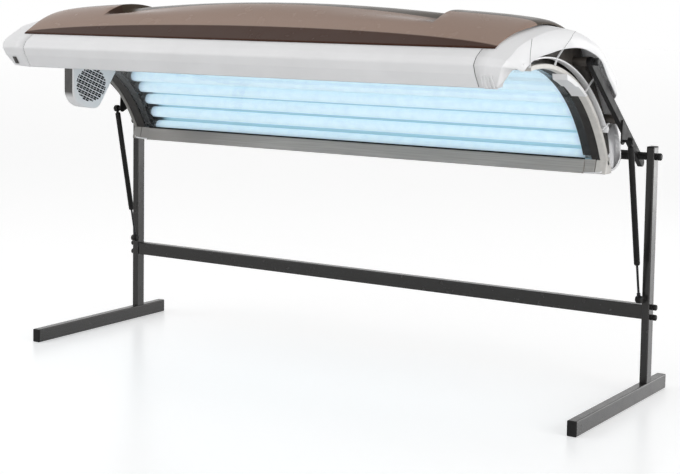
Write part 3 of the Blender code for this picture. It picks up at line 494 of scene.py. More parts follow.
def arc_bar(centre, r0, r1, a0, a1, x0, x1, steps=72, edge=EDGE_R):
    """Bar of rectangular section, with softened edges, bent round a centre in the YZ plane."""
    section = held(rounded_rect(((x0 + x1) / 2, (r0 + r1) / 2), abs(x1 - x0), r1 - r0, edge, 2))
    rows = []
    for i in range(steps + 1):
        a = a0 + (a1 - a0) * i / steps
        rows.append([(x, *polar(centre, r, a)) for x, r in section])
    return solid(rows)


def rounded_rect(centre, w, h, r, steps=5):
    loop = []
    for sx, sy, a in ((1, 1, 0), (-1, 1, 90), (-1, -1, 180), (1, -1, 270)):
        corner = (centre[0] + sx * (w / 2 - r), centre[1] + sy * (h / 2 - r))
        loop += arc(corner, r, a, a + 90, steps)
    return loop


def fillet(points, radii, steps=6):
    """Open path with its inner corners rounded; each point comes with its place along the corners."""
    out = [(points[0], 0.0)]
    for i, r in enumerate(radii, 1):
        p = Vector(points[i])
        before, after = Vector(points[i - 1]) - p, Vector(points[i + 1]) - p
        half = before.angle(after) / 2
        back = min(r / math.tan(half), before.length * 0.48, after.length * 0.48)
        start, stop = p + before.normalized() * back, p + after.normalized() * back
        for k in range(steps + 1):
            t = k / steps
            point = start * (1 - t) ** 2 + p * 2 * t * (1 - t) + stop * t ** 2
            share = (t - 0.5) * 2
            span = before if share < 0 else after
            out.append((tuple(point), i + share * back / span.length))
    return out + [(points[-1], len(points) - 1.0)]


def softened(profile, r=EDGE_R):
    """Turned profile with each of its inner corners rounded."""
    return [p for p, _ in fillet(profile, [r] * (len(profile) - 2), 3)]


def closed(profile, r=EDGE_R):
    """Softened profile that starts and ends at the axis."""
    return softened([(profile[0][0], AXIS_R)] + profile + [(profile[-1][0], AXIS_R)], r)


def turned(profile, at, axis, sides, flutes=0, depth=0.0):
    """Rings of points: a profile of (height, radius) turned about an axis; flutes are scallops round it."""
    turn = Vector((0.0, 0.0, 1.0)).rotation_difference(Vector(axis)).to_matrix()
    rows = []
    for z, r in profile:
        row = []
        for k in range(sides):
            a = 2 * math.pi * k / sides
            scallop = 1.0 - depth * (0.5 - 0.5 * math.cos(flutes * a))
            row.append(Vector(at) + turn @ Vector((r * scallop * math.cos(a), r * scallop * math.sin(a), z)))
        rows.append(row)
    return rows


def lathe(profile, at, axis, sides=TURNED_SIDES, bm=None, **fluting):
    """Solid turned from a profile, from end to end."""
    return solid(turned(profile, at, axis, sides, **fluting), bm)


def spindle(profile, at, sign=1, **turning):
    """Solid turned about a line along X through a point of the YZ plane, outward on one side."""
    return lathe(profile, (0.0, *at), (sign, 0.0, 0.0), **turning)


def ring_of(outer, inner, half, at):
    """Turned ring along X with a hole."""
    loop = softened([(-half, inner), (-half, outer), (half, outer), (half, inner)])
    return pipe(turned(loop, at, (1.0, 0.0, 0.0), TURNED_SIDES))


def sheet(name, rows, thickness, finish, nodes=()):
    """Open surface thickened inward, its outside facing away from the outer circle's centre line."""
    bm = grid(rows)
    bm.normal_update()
    away = 0.0
    for face in bm.faces:
        middle = face.calc_center_median()
        away += face.normal.y * (middle.y - OUTER_C[0]) + face.normal.z * (middle.z - OUTER_C[1])
    if away < 0:
        bmesh.ops.reverse_faces(bm, faces=bm.faces)
    wall = piece(name, bm, finish, nodes=nodes).modifiers.new("wall", "SOLIDIFY")
    wall.thickness = thickness
    wall.offset = -1.0


# Stand

TUBE_CORNER = 0.0034
TUBE_WALL = 0.002
BAR_KNOB_R = 0.0095
AXLE_KNOB_R = 0.0115
KNOB_LENGTH = 0.018
LUG_R = 0.011
LUG_T = 0.008
STUD_R = 0.0039
STUD_HEAD_R = 0.0095
STUD_HEAD_T = 0.003


def across(axis, low, high):
    """Middle and size of a box, seen along an axis."""
    pairs = [(low[i], high[i]) for i in range(3) if i != axis]
    return [(b + a) / 2 for a, b in pairs], [b - a for a, b in pairs]


def laid(loop, axis, along):
    """Loop of points across an axis, set at a place along it."""
    return [p[:axis] + (along,) + p[axis:] for p in loop]


def tube(name, axis, low, high):
    """Rectangular steel tube between two corners, open at its ends."""
    middle, size = across(axis, low, high)
    outer = held(rounded_rect(middle, *size, TUBE_CORNER))
    bore = [side - 2 * TUBE_WALL for side in size]
    inner = held(rounded_rect(middle, *bore, TUBE_CORNER - TUBE_WALL))
    ends = (low[axis], high[axis])
    rows = [laid(outer, axis, end) for end in ends] + [laid(inner, axis, end) for end in ends[::-1]]
    stand_in(name, pipe(rows), "grey_steel", "stand")


def tube_cap(name, axis, sign):
    """Moulded cap with a crowned face; sign is the way it faces along its axis."""
    low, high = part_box(name)
    middle, size = across(axis, low, high)
    face = high[axis] if sign > 0 else low[axis]
    plate, deep = 0.004, 0.016
    steps = ((deep, 0.0025), (plate + GAP, 0.0025), (plate, 0.0), (0.0022, 0.0), (0.0009, 0.0005),
             (0.0002, 0.0016), (0.0, 0.0032))
    rows = []
    for back, inset in steps:
        drawn_in = [side - 2 * inset for side in size]
        loop = rounded_rect(middle, *drawn_in, max(TUBE_CORNER - inset, EDGE_R))
        rows.append(laid(held(loop), axis, face - sign * back))
    stand_in(name, solid(rows), "black_plastic", "stand")


def knob_bolt(name, body, r):
    """Bolt with a collar, a fluted knob and a domed end, facing away from the middle of the part."""
    low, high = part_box(name)
    sign = 1 if low.x + high.x > 0 else -1
    at = ((low.y + high.y) / 2, (low.z + high.z) / 2)
    tail, tip = sorted((abs(low.x), abs(high.x)))
    seat = tip - KNOB_LENGTH
    shank = 0.0058 if r > BAR_KNOB_R else 0.0039
    collar = [(tail, AXIS_R), (tail, shank), (seat, shank), (seat, r * 0.96), (seat + 0.003, r * 0.96),
              (seat + 0.0042, r * 0.84)]
    knob = [(seat + 0.0052, r * 0.86), (seat + 0.0062, r * 0.98), (seat + 0.0075, r), (tip - 0.0035, r),
            (tip - 0.0016, r * 0.93), (tip - 0.0006, r * 0.80), (tip, r * 0.62), (tip, AXIS_R)]
    bm = spindle(collar, at, sign)
    spindle(knob, at, sign, sides=72, flutes=12, depth=0.07, bm=bm)
    stand_in(name, bm, "black_plastic", body)


def spring_lug(side, sign, face):
    """Plate on the front of a post, with the stud for the gas spring's rod."""
    x, y, z = JOINTS[side + "_spring_swing"]["pos_m"]
    inner = abs(x) + 0.0065
    root = face + 0.0005
    outline = arc((y, z), LUG_R, 90, 270, 24) + [(root, z - LUG_R), (root, z + LUG_R)]
    bm = prism(outline, sign * inner, sign * (inner + LUG_T))
    piece(side + "_spring_lug", bm, "grey_steel", "stand", bevel=0.0008)
    head = abs(x) - 0.0095
    neck = head + STUD_HEAD_T
    stud = closed([(head, STUD_HEAD_R), (neck, STUD_HEAD_R), (neck, STUD_R), (inner + 0.002, STUD_R)])
    piece(side + "_post_stud", spindle(stud, (y, z), sign), "black_plastic", "stand")


def stand():
    for side, sign in SIDES:
        tube(side + "_foot", 1, *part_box(side + "_foot"))
        tube_cap(side + "_foot_front_cap", 1, -1)
        tube_cap(side + "_foot_rear_cap", 1, 1)
        low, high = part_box(side + "_post_cap")
        base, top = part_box(side + "_post")
        tube(side + "_post", 2, (low.x, low.y, base.z), (high.x, high.y, top.z))
        tube_cap(side + "_post_cap", 2, 1)
        for level in ("_upper_bar_bolt", "_lower_bar_bolt"):
            knob_bolt(side + level, "stand", BAR_KNOB_R)
        knob_bolt(side + "_axle_bolt", "stand", AXLE_KNOB_R)
        spring_lug(side, sign, low.y)
    tube("crossbar", 0, *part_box("crossbar"))


# Arms and springs

ARM_WIDTH = 0.028
ARM_TAIL = 0.038
ARM_TOP = polar(OUTER_C, OUTER_R - 0.0824, 70.9)
ARM_ANGLE = math.degrees(math.atan2(ARM_TOP[1] - AXLE[1], ARM_TOP[0] - AXLE[0]))
SPRING_LEVER = 0.155
SPRING_DROP = 17.1
UPPER_EYE = polar(AXLE, SPRING_LEVER, ARM_ANGLE + SPRING_DROP)
EYE_R = 0.0125
EYE_HALF = 0.006
BARREL_R = 0.0095
BARREL_LENGTH = 0.382
ROD_R = 0.0038
TORSION_R = (0.015, 0.012)      # outer and inner


def arm(side, sign):
    """Flat arm with its pivot bush, and the bracket and stud for its gas spring."""
    half = ARM_WIDTH / 2
    outline = arc(polar(AXLE, -ARM_TAIL, ARM_ANGLE), half, ARM_ANGLE + 90, ARM_ANGLE + 270, 24)
    outline += arc(ARM_TOP, half, ARM_ANGLE - 90, ARM_ANGLE + 90, 24)
    stand_in(side + "_arm", prism(outline, sign * ARM_IN, sign * ARM_OUT), "black_steel", bevel=0.0018)
    spring_x = abs(JOINTS[side + "_spring_swing"]["pos_m"][0])
    post_in = spring_x + 0.0025
    bush = closed([(ARM_OUT, 0.0135), (ARM_OUT + 0.003, 0.012), (post_in, 0.012)], 0.001)
    piece(side + "_arm_bush", spindle(bush, AXLE, sign), "black_steel")
    foot = [polar(AXLE, SPRING_LEVER * share, ARM_ANGLE) for share in (0.72, 1.25)]
    outline = arc(UPPER_EYE, 0.012, ARM_ANGLE + 30, ARM_ANGLE + 150, 16) + foot
    plate = ARM_OUT + 0.004
    bm = prism(outline, sign * (ARM_OUT - 0.001), sign * plate)
    piece(side + "_spring_bracket", bm, "black_steel", bevel=0.0008)
    head = spring_x + EYE_HALF + 0.0005
    tip = head + STUD_HEAD_T
    stud = closed([(plate - 0.001, STUD_R), (head, STUD_R), (head, STUD_HEAD_R), (tip, STUD_HEAD_R)])
    piece(side + "_arm_stud", spindle(stud, UPPER_EYE, sign), "black_steel")
    knob_bolt(side + "_arm_bolt", "canopy", AXLE_KNOB_R)


def gas_spring(side):
    """Cylinder with a crimped mouth and a neck, a bright rod, and a ring eye at each end."""
    lower = Vector(JOINTS[side + "_spring_swing"]["pos_m"])
    upper = Vector((lower.x, *UPPER_EYE))
    axis = (upper - lower).normalized()
    length = (upper - lower).length
    top = length - EYE_R - 0.004
    neck = length - EYE_R + 0.001
    mouth = top - BARREL_LENGTH
    r = BARREL_R
    barrel = [(mouth, 0.0041), (mouth, 0.0072), (mouth + 0.002, 0.0088), (mouth + 0.005, r),
              (mouth + 0.011, r), (mouth + 0.012, r * 0.93), (mouth + 0.014, r * 0.93), (mouth + 0.015, r),
              (top - 0.004, r), (top - 0.0012, r * 0.9), (top, r * 0.72), (top, 0.005), (neck, 0.005),
              (neck, AXIS_R)]
    body = side + "_cylinder"
    stand_in(side + "_spring_cylinder", lathe(barrel, lower, axis), "black_steel", body)
    piece(side + "_spring_upper_eye", ring_of(EYE_R, 0.0088, EYE_HALF, upper), "black_steel", body)
    foot = EYE_R - 0.002
    shaft = closed([(foot, 0.006), (foot + 0.010, 0.006), (foot + 0.011, ROD_R),
                    (mouth + 0.030, ROD_R)], 0.0004)
    body = side + "_rod"
    stand_in(side + "_spring_rod", lathe(shaft, lower, axis), "bright_rod", body)
    piece(side + "_spring_lower_eye", ring_of(EYE_R, 0.0044, EYE_HALF, lower), "black_steel", body)


def linkage():
    for side, sign in SIDES:
        arm(side, sign)
        gas_spring(side)
    stand_in("torsion_tube", ring_of(*TORSION_R, ARM_IN - GAP, (0.0, *AXLE)), "black_steel")


# Canopy shells

def lip_path(steps=6):
    """Lip's outside from its heel, under and round to the shield, with places along its corners."""
    corners = [LIP[name] for name in ("heel", "bottom", "crease", "nose", "brow")]
    first = shifted(LIP["heel"], (0.004, 0.006))
    return fillet([first] + corners + [LIP_TOP], LIP_FILLETS, steps)


def front_lip():
    outside = [p for p, _ in lip_path(8)]
    back = [polar(INNER_C, ACRYLIC_R + LIP_SHOULDER, LIP_ANGLE), LIP_EDGE]
    bm = prism(held(outside + back, 0.002), -LIP_HALF, LIP_HALF)
    stand_in("front_lip", bm, "white_plastic", sharp=50.0)


def sill_path(steps):
    """Outside of the rear profile, from the acrylic's edge under and round to the skin."""
    edge = polar(INNER_C, ACRYLIC_R, SILL_ANGLE)
    front = shifted(edge, SILL_STEP)
    rear = polar(OUTER_C, OUTER_R, SKIN_REAR_ANGLE)
    corner = (rear[0] + SILL_FLARE - SILL_CORNER_R, front[1] + SILL_CORNER_R)
    return [edge, front] + arc(corner, SILL_CORNER_R, -90, 0, steps) + [rear]


def rear_profile():
    """Extruded rear edge, with its inside wall and a dark strip along the acrylic that paints the shadow
    there.
    """
    outside = sill_path(16)
    middle = (OUTER_C[0] + 0.20, OUTER_C[1] + 0.02)
    inside = []
    for p in outside:
        back = Vector(middle) - Vector(p)
        inside.append(tuple(Vector(p) + back.normalized() * SILL_T))
    half = SILL_HALF
    bm = prism(outside + inside[::-1], -half, half)
    stand_in("rear_profile", bm, "grey_profile", bevel=EDGE_R)
    # thin dark strip on the profile at the acrylic's edge: painted shadow between acrylic and profile
    shadow_strip = arc(INNER_C, ACRYLIC_R - 0.0006, SILL_ANGLE - 0.35, SILL_ANGLE + 0.55, 6)
    shadow_strip += arc(INNER_C, ACRYLIC_R - 0.0001, SILL_ANGLE + 0.55, SILL_ANGLE - 0.35, 6)
    piece("sill_seal", prism(shadow_strip, -half, half), "black_plastic")


def skins():
    """Rear skin, acrylic sheet and reflector, each bent round its own arc."""
    low, high = SKIN_REAR_ANGLE + SEAM_ANGLE, SKIN_FRONT_ANGLE - SEAM_ANGLE
    bm = arc_bar(OUTER_C, OUTER_R - SKIN_T, OUTER_R, low, high, -LIP_HALF, LIP_HALF, 120)
    stand_in("rear_skin", bm, "white_plastic")
    low, high = SILL_ANGLE + SEAM_ANGLE, LIP_ANGLE - SEAM_ANGLE
    half = ACRYLIC_HALF
    bm = arc_bar(INNER_C, ACRYLIC_R, ACRYLIC_R + ACRYLIC_T, low, high, -half, half, 96, 0.0004)
    stand_in("acrylic_sheet", bm, "acrylic")
    low, high = LAMP_ANGLES[0] - 2.5, LAMP_ANGLES[-1] + 4.0
    half = PLATE_X - GAP
    bm = arc_bar(INNER_C, REFLECTOR_R, REFLECTOR_R + REFLECTOR_T, low, high, -half, half, 96, 0.0002)
    stand_in("reflector", bm, "reflector")


BROW_SPAN = 26.0        # degrees in which the shield rises from its front edge
TAIL_SPAN = 20.0        # degrees in which it falls to its rear edge
WING_RISE = 0.034
WING_FULLNESS = 0.42
CROWN_RISE = 0.0466     # at the middle of the part
CROWN_END_RISE = 0.004  # in the scoops
SCOOP_ANGLE = 107.0
SCOOP_SPAN = 9.0
SCOOP_REAR_RISE = 0.014
SHIELD_SEAT = 0.0006
SHIELD_T = 0.003
SHIELD_FLARE = 0.032
FLARE_SPAN = 22.0


def shield_end(a):
    """Half length of the shield, which reaches further out toward the crest."""
    return SHIELD_HALF + SHIELD_FLARE * smooth((SHIELD_ANGLES[1] - a) / FLARE_SPAN)


def shield_rise(x, a):
    """Height of the shield over the plain arc: wings that rise to scoops, and a crowned middle."""
    rear, front = SHIELD_ANGLES
    top = smooth((front - a) / BROW_SPAN) * smooth((a - rear) / TAIL_SPAN)
    if abs(x) >= VENT_X:
        end = shield_end(a)
        share = max(0.0, (end - abs(x)) / (end - VENT_X))
        crease, drop = CAP_CREASE[1]
        bevel = drop * max(0.0, abs(x) - CAP_BEVEL) / (crease - CAP_BEVEL)
        return WING_RISE * top * share ** WING_FULLNESS - bevel
    end = WING_RISE + (CROWN_END_RISE - WING_RISE) * smooth((SCOOP_ANGLE - a) / SCOOP_SPAN)
    end += SCOOP_REAR_RISE * smooth((SCOOP_ANGLE - SCOOP_SPAN - a) / SCOOP_SPAN)
    crown = CROWN_RISE + (end - CROWN_RISE) * (x / VENT_X) ** 2
    ramp = smooth((VENT_X - abs(x)) / VENT_RAMP)
    return top * (crown * ramp + WING_RISE * (1 - ramp))


def top_shield():
    steps, columns = 72, 24
    ramp = [VENT_X - VENT_RAMP * k / 8 for k in range(1, 8)]
    middle = [(VENT_X - VENT_RAMP) * k / columns for k in range(columns + 1)]
    r = OUTER_R + SHIELD_SEAT + SHIELD_T
    rows = []
    for i in range(steps + 1):
        a = SHIELD_ANGLES[0] + (SHIELD_ANGLES[1] - SHIELD_ANGLES[0]) * i / steps
        length = shield_end(a) - VENT_X
        wing = [VENT_X + length * (1 - (1 - k / columns) ** 2.5) for k in range(columns + 1)]
        half = middle + ramp[::-1] + wing
        xs = [-x for x in half[:0:-1]] + half
        rows.append([(x, *polar(OUTER_C, r + shield_rise(x, a), a)) for x in xs])
    sheet("top_shield", rows, SHIELD_T, "brown_shield", ["top_shield"])


# End caps

# Along the lip from its heel to the shield: shares of the cap's curl and length, and its way inward
LIP_CURL = {"left": (0.08, 0.10, 0.14, 0.26, 0.44, 0.62, 0.78),
            "right": (0.08, 0.10, 0.34, 0.68, 0.84, 0.95, 0.98)}
LIP_LENGTH = {"left": (0.42, 0.43, 0.49, 0.63, 0.70, 0.78, 0.87),
              "right": (0.36, 0.37, 0.42, 0.55, 0.64, 0.69, 0.72)}
LIP_INWARD = (84.0, 84.0, 53.0, 17.5, -11.5, -37.0, SKIN_FRONT_ANGLE - 180.0)

# Over the skin: the angle where a share starts to fall, and its slope
FACE_TAPER = {"left": (108.0, 0.016), "right": (90.0, 0.0092)}
REAR_TAPER = (44.0, 0.038)
CURL_TAPERS = ((104.0, 0.013), (32.0, 0.020))
REAR_CURL = 0.32        # added to the curl over the rear of the arch
FACE_BREADTH = {"left": 0.0, "right": 1.0}      # of the end face at the front: 0 narrow, 1 broad

# Along the rear profile, from the skin to the acrylic
SILL_CURL = (0.70, 0.12)
SILL_LENGTH = (0.74, 0.58)

SILL_INSIDE = (0.22, 0.80)
SILL_JOINT = 0.900
# Z above which a dark sheet paints the shade inside the cap's wall
SHADE_LINER_BASE = 1.105
SEAM_ANGLES = ((108.5, 116.0), (81.0, 97.0))
SEAM_SPREAD = 0.20
RIB_HALF = 0.0014
RIB_DEPTH = 0.006
RIDGE_STEPS = (0.0, 0.0010, 0.0036, 0.0046)
FILM_T = 0.0006         # thickness of seams, ridges and the slot
PANEL_X = 0.928
PANEL_T = 0.0015
PANEL_FIRST = 26.5
PANEL_SPAN = 75.5
CHEEK_X = 0.922
CHEEK_R = CAP_RING_R + 0.012
CHEEK_TOP = 33.0


def between(values, t):
    i = min(int(t), len(values) - 2)
    return values[i] + (values[i + 1] - values[i]) * (t - i)


def taper(a, front, rear):
    """Share that is lost toward the front and toward the rear."""
    return max(0.0, (a - front[0]) * front[1], (rear[0] - a) * rear[1])


def skin_share(side, a):
    """Way inward, shares of the cap's curl and length, and breadth of its face, at an outer angle."""
    inward = polar((0.0, 0.0), 1.0, a + 180.0 - SKIN_REAR_ANGLE * smooth((40.0 - a) / 23.0))
    curl = 1.0 - taper(a, *CURL_TAPERS)
    curl += REAR_CURL * (smooth((66.0 - a) / 12.0) - smooth((47.0 - a) / 12.0))
    length = max(SILL_LENGTH[0], 1.0 - taper(a, FACE_TAPER[side], REAR_TAPER))
    blend = smooth((SKIN_FRONT_ANGLE - a) / 14.0)
    curl = between((LIP_CURL[side][-1], curl), blend)
    length = between((LIP_LENGTH[side][-1], length), blend)
    return inward, curl, length, FACE_BREADTH[side] * smooth((a - 66.0) / 18.0)


def cap_path(side):
    """Points round the canopy's outside, each with its shares of the cap's shape and the cap's start."""
    points = []
    for p, t in lip_path():
        inward = polar((0.0, 0.0), 1.0, between(LIP_INWARD, t))
        shares = (between(LIP_CURL[side], t), between(LIP_LENGTH[side], t), FACE_BREADTH[side])
        points.append((p, inward, *shares, CAP_START))
    count = 76
    for i in range(1, count + 1):
        a = SKIN_FRONT_ANGLE + (SKIN_REAR_ANGLE + 0.4 - SKIN_FRONT_ANGLE) * i / count
        points.append((polar(OUTER_C, OUTER_R, a), *skin_share(side, a), CAP_START))
    sill = sill_path(12)[:0:-1]
    for i, p in enumerate(sill):
        t = i / (len(sill) - 1)
        inward = (Vector(SILL_INSIDE) - Vector(p)).normalized()
        shares = (between(SILL_CURL, t), between(SILL_LENGTH, t), 0.0)
        points.append((p, tuple(inward), *shares, SILL_HALF + 2 * GAP))
    return points


def right_of(a, b):
    size = math.hypot(b[0] - a[0], b[1] - a[1])
    return ((b[1] - a[1]) / size, (a[0] - b[0]) / size)


def offset(path, distance):
    """Open path moved to its right-hand side."""
    out = []
    last = len(path) - 1
    for i, p in enumerate(path):
        n = right_of(path[max(i - 1, 0)], path[max(i, 1)])
        m = right_of(path[min(i, last - 1)], path[min(i + 1, last)])
        share = distance / (1 + n[0] * m[0] + n[1] * m[1])
        out.append((p[0] + (n[0] + m[0]) * share, p[1] + (n[1] + m[1]) * share))
    return out


def cap_rows(sign, points, inset=0.0, last=None):
    """Rows of the cap's surface, drawn in by an inset; each row stops at the index last."""
    rows = []
    for (y, z), inward, curl, length, breadth, start in points:
        end = CAP_START + (CAP_END - CAP_START) * length
        crease = tuple(between(pair, breadth) for pair in zip(*CAP_CREASE))
        corners = [(CAP_START, 0.0), (CAP_BEVEL, 0.0), crease, (CAP_END, CAP_RIM_DROP)]
        row = []
        for (x, drop), _ in fillet(corners, CAP_FILLETS, 7)[:last]:
            along = start + (end - start) * (x - CAP_START) / (CAP_END - CAP_START)
            step = drop * curl + inset
            row.append((sign * along, y + inward[0] * step, z + inward[1] * step))
        rows.append(row)
    return rows


def reach(angle, inset):
    """Distance from the inner centre to the outer circle drawn in by inset."""
    dy, dz = OUTER_SHIFT
    c, s = polar((0.0, 0.0), 1.0, angle)
    b = c * dy + s * dz
    return b + math.sqrt(b * b - dy * dy - dz * dz + (OUTER_R - inset) ** 2)


def cap_rib(side, sign, index, angle):
    """Thin strut from the arch frame, over the ring, to the rim of the cap's face."""
    half = math.degrees(RIB_HALF / CAP_RING_R)
    root, tip = PLATE_IN_R - 0.002, reach(angle, CAP_RIM_DROP - RIB_DEPTH)
    low, high = PLATE_X + CAP_RING_PAST[1], CAP_CREASE[0][0] - RIB_DEPTH
    section = ((-RIB_DEPTH, -half), (-RIB_DEPTH, half), (0.0, half), (0.0, -half))
    rows = []
    for r, x in ((root, low - 0.003), (CAP_RING_R + CAP_RING_T, low + 0.002), (tip, high)):
        rows.append([(sign * (x + step), *polar(INNER_C, r, angle + turn)) for step, turn in section])
    piece("%s_cap_rib_%d" % (side, index), solid(rows), "white_plastic", bevel=EDGE_R)


def cap_seam(side, sign, index, angles):
    """Thin dark parting line over the cap's end face, from an angle at its crease to one at its rim."""
    steps = 12
    rows = []
    for k in range(3):
        row = []
        for i in range(steps + 1):
            a = between(angles, i / steps) + SEAM_SPREAD * (0.5 - k / 2)
            point = (polar(OUTER_C, OUTER_R, a), *skin_share(side, a), CAP_START)
            face = cap_rows(sign, [point], -0.0005)[0][-2:]
            row.append(Vector(face[0]).lerp(Vector(face[1]), i / steps))
        rows.append(row)
    sheet("%s_cap_seam_%d" % (side, index), rows, FILM_T, "seam_grey")


def lip_ridges():
    """Raised ribs round the lower corner of the right cap, beside the lip."""
    path = [p for p, t in lip_path() if 0.9 < t < 3.1]
    proud = offset(path, -0.0010)
    sunk = offset(path, 0.0004)
    for k in range(4):
        x = CAP_START + 0.012 + 0.0105 * k
        rows = []
        for low, high in zip(sunk, proud):
            rows.append([(x + step, *p) for step, p in zip(RIDGE_STEPS, (low, high, high, low))])
        sheet("right_lip_ridge_%d" % (k + 1), rows, FILM_T, "white_plastic")


def lip_slot():
    """Small dark vent in the lower corner of the left cap."""
    low, high = Vector(LIP["bottom"]), Vector(LIP["crease"])
    path = [tuple(low + (high - low) * share) for share in (0.22, 0.45, 0.65, 0.85)]
    rows = [[(-x, *p) for x in (0.876, 0.884, 0.892)] for p in offset(path, -0.0004)]
    sheet("left_lip_slot", rows, FILM_T, "seam_grey")


def cap_groove(side, sign):
    """Dark strip in the joint between the cap and the lip and skin."""
    path = [point[0] for point in cap_path(side) if point[-1] == CAP_START]
    edges = (LIP_HALF - 0.0002, CAP_START + 0.0002)
    rows = [[(sign * x, *p) for x in edges] for p in offset(path, 0.0016)]
    sheet(side + "_cap_groove", rows, 0.0008, "seam_grey")


def end_panel(side, sign):
    """Dark panel that closes the cap between its ring and its wall."""
    steps = 64
    low = CAP_RING_R + CAP_RING_T - 0.001
    rows = []
    for i in range(steps + 1):
        a = PANEL_FIRST + PANEL_SPAN * i / steps
        high = reach(a, 0.030 + 0.040 * smooth((66.0 - a) / 8.0))
        rows.append([(sign * PANEL_X, *polar(INNER_C, low + (high - low) * k / 6, a)) for k in range(7)])
    sheet(side + "_end_panel", rows, PANEL_T, "dark_steel")


def end_cheek(side, sign):
    """Pale panel that closes the cap beside the end of the rear profile."""
    rows = []
    for p, inward, *_ in cap_path(side):
        way = Vector(p) - Vector(INNER_C)
        angle = math.degrees(math.atan2(way.y, way.x))
        if angle > CHEEK_TOP or way.length < CHEEK_R + 0.010:
            continue
        outer = Vector(p) + Vector(inward) * (CAP_WALL + 0.001)
        inner = Vector(polar(INNER_C, CHEEK_R, max(angle, SILL_ANGLE - 1.0)))
        rows.append([(sign * CHEEK_X, *inner.lerp(outer, k / 4)) for k in range(5)])
    sheet(side + "_end_cheek", rows, PANEL_T, "white_plastic")


def sill_corner(side, sign):
    """End of the rear profile and the pale corner under the arch strip."""
    edge = polar(INNER_C, ACRYLIC_R, SILL_ANGLE)
    front = shifted(edge, SILL_STEP)
    top = polar(INNER_C, ACRYLIC_R + 0.020, SILL_ANGLE)
    outline = [edge, front, shifted(front, (0.050, 0.0)), shifted(front, (0.050, 0.012)), top]
    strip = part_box("right_arch_frame")[1].x
    for name, low, high, finish, bevel in (
            ("_sill_end", SILL_HALF + 0.0004, SILL_JOINT, "grey_profile", EDGE_R),
            ("_sill_corner", SILL_JOINT + 0.0012, strip, "pale_frame", 0.0035)):
        piece(side + name, prism(outline, sign * low, sign * high), finish, bevel=bevel)


def end_cap(side, sign):
    points = cap_path(side)
    sheet(side + "_end_cap", cap_rows(sign, points), CAP_WALL, "white_plastic", [side + "_end_cap"])
    # dark sheet over the inside of the cap's upper wall: painted shade of the recess on the white plastic
    inside = [point for point in points if point[0][1] > SHADE_LINER_BASE]
    sheet(side + "_cap_liner", cap_rows(sign, inside, CAP_WALL + 0.0005, -3), 0.0008, "dark_panel")
    end_panel(side, sign)
    end_cheek(side, sign)
    sill_corner(side, sign)
    low, high = (PLATE_X + past for past in CAP_RING_PAST)
    ring = (CAP_RING_R, CAP_RING_R + CAP_RING_T)
    bm = arc_bar(INNER_C, *ring, *CAP_RING_ANGLES, sign * low, sign * high, edge=0.0015)
    piece(side + "_cap_ring", bm, "white_plastic")
    first = CAP_RING_ANGLES[0]
    bm = arc_bar(INNER_C, CAP_RING_R - 0.007, CAP_RING_R + 0.009, first, first + 1.6, sign * low,
                 sign * (high + 0.004), 4, 0.0012)
    piece(side + "_ring_tab", bm, "white_plastic")
    for i, angle in enumerate(RIB_ANGLES, 1):
        cap_rib(side, sign, i, angle)
    for i, angles in enumerate(SEAM_ANGLES, 1):
        cap_seam(side, sign, i, angles)
    cap_groove(side, sign)


# Inside the ends

STRIP_WIDTH = {"left": 0.014, "right": 0.024}
ARCH_SHORT = {"left": (4.5, 1.0, 2.5), "right": (8.5, 8.5, 8.5)}    # strip, band and cover, short of the lip
BOSS_R = 0.0138
SOCKET_R = 0.0162
SOCKET_BORE = 0.009
FERRULE_R = 0.0170


def end_plate(side, sign):
    """Steel end of the canopy with lamp sockets and the bosses that carry the arm."""
    low, high, front, rear = PLATE_ENDS
    steps = 48
    back = PLATE_X + PLATE_T
    rows = []
    for i in range(steps + 1):
        t = i / steps
        a = SILL_ANGLE - low + (LIP_ANGLE - high - SILL_ANGLE + low) * t
        b = SKIN_REAR_ANGLE - rear + (SKIN_FRONT_ANGLE - front - SKIN_REAR_ANGLE + rear) * t
        inner = polar(INNER_C, PLATE_IN_R, a)
        outer = polar(OUTER_C, OUTER_R - PLATE_INSET, b)
        corners = ((PLATE_X, inner), (PLATE_X, outer), (back, outer), (back, inner))
        rows.append([(sign * x, *p) for x, p in corners])
    stand_in(side + "_end_plate", solid(rows), "dark_steel")
    boss = closed([(back, BOSS_R), (ARM_IN - GAP, BOSS_R)], 0.0012)
    pad = polar(AXLE, math.dist(AXLE, ARM_TOP) * 0.40, ARM_ANGLE)
    for name, at in (("_upper_boss", ARM_TOP), ("_lower_boss", pad)):
        piece(side + name, spindle(boss, at, sign), "dark_steel")
    face = LAMP_HALF + GAP
    socket = softened([(face, SOCKET_BORE), (face, SOCKET_R), (PLATE_X, SOCKET_R),
                       (PLATE_X, SOCKET_BORE)], 0.001)
    bm = bmesh.new()
    for a in LAMP_ANGLES:
        spindle(socket, polar(INNER_C, LAMP_RING_R, a), sign, sides=28, bm=bm)
    piece(side + "_sockets", bm, "black_plastic")


def arch_trim(side, sign):
    """Pale strip and dark inner band of the arch frame, and the dark cover over the lamp ends."""
    low, high = (corner.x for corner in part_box("right_arch_frame"))
    step = high - STRIP_WIDTH[side]
    first = SILL_ANGLE - 2.0
    top = PLATE_IN_R - GAP
    strip, band, cover = (LIP_ANGLE - short for short in ARCH_SHORT[side])
    bm = arc_bar(INNER_C, FRAME_IN_R, top, first, strip, sign * step, sign * high, 96, 0.0030)
    stand_in(side + "_arch_frame", bm, "pale_frame")
    bm = arc_bar(INNER_C, FRAME_IN_R + 0.0025, top, first, band, sign * low, sign * step, 96)
    piece(side + "_frame_band", bm, "dark_panel")
    low, high = (corner.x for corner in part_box("right_lamp_cover"))
    first = SILL_ANGLE + 1.1
    bm = arc_bar(INNER_C, COVER_R, COVER_R + COVER_T, first, cover, sign * low, sign * high, 96)
    stand_in(side + "_lamp_cover", bm, "dark_panel")


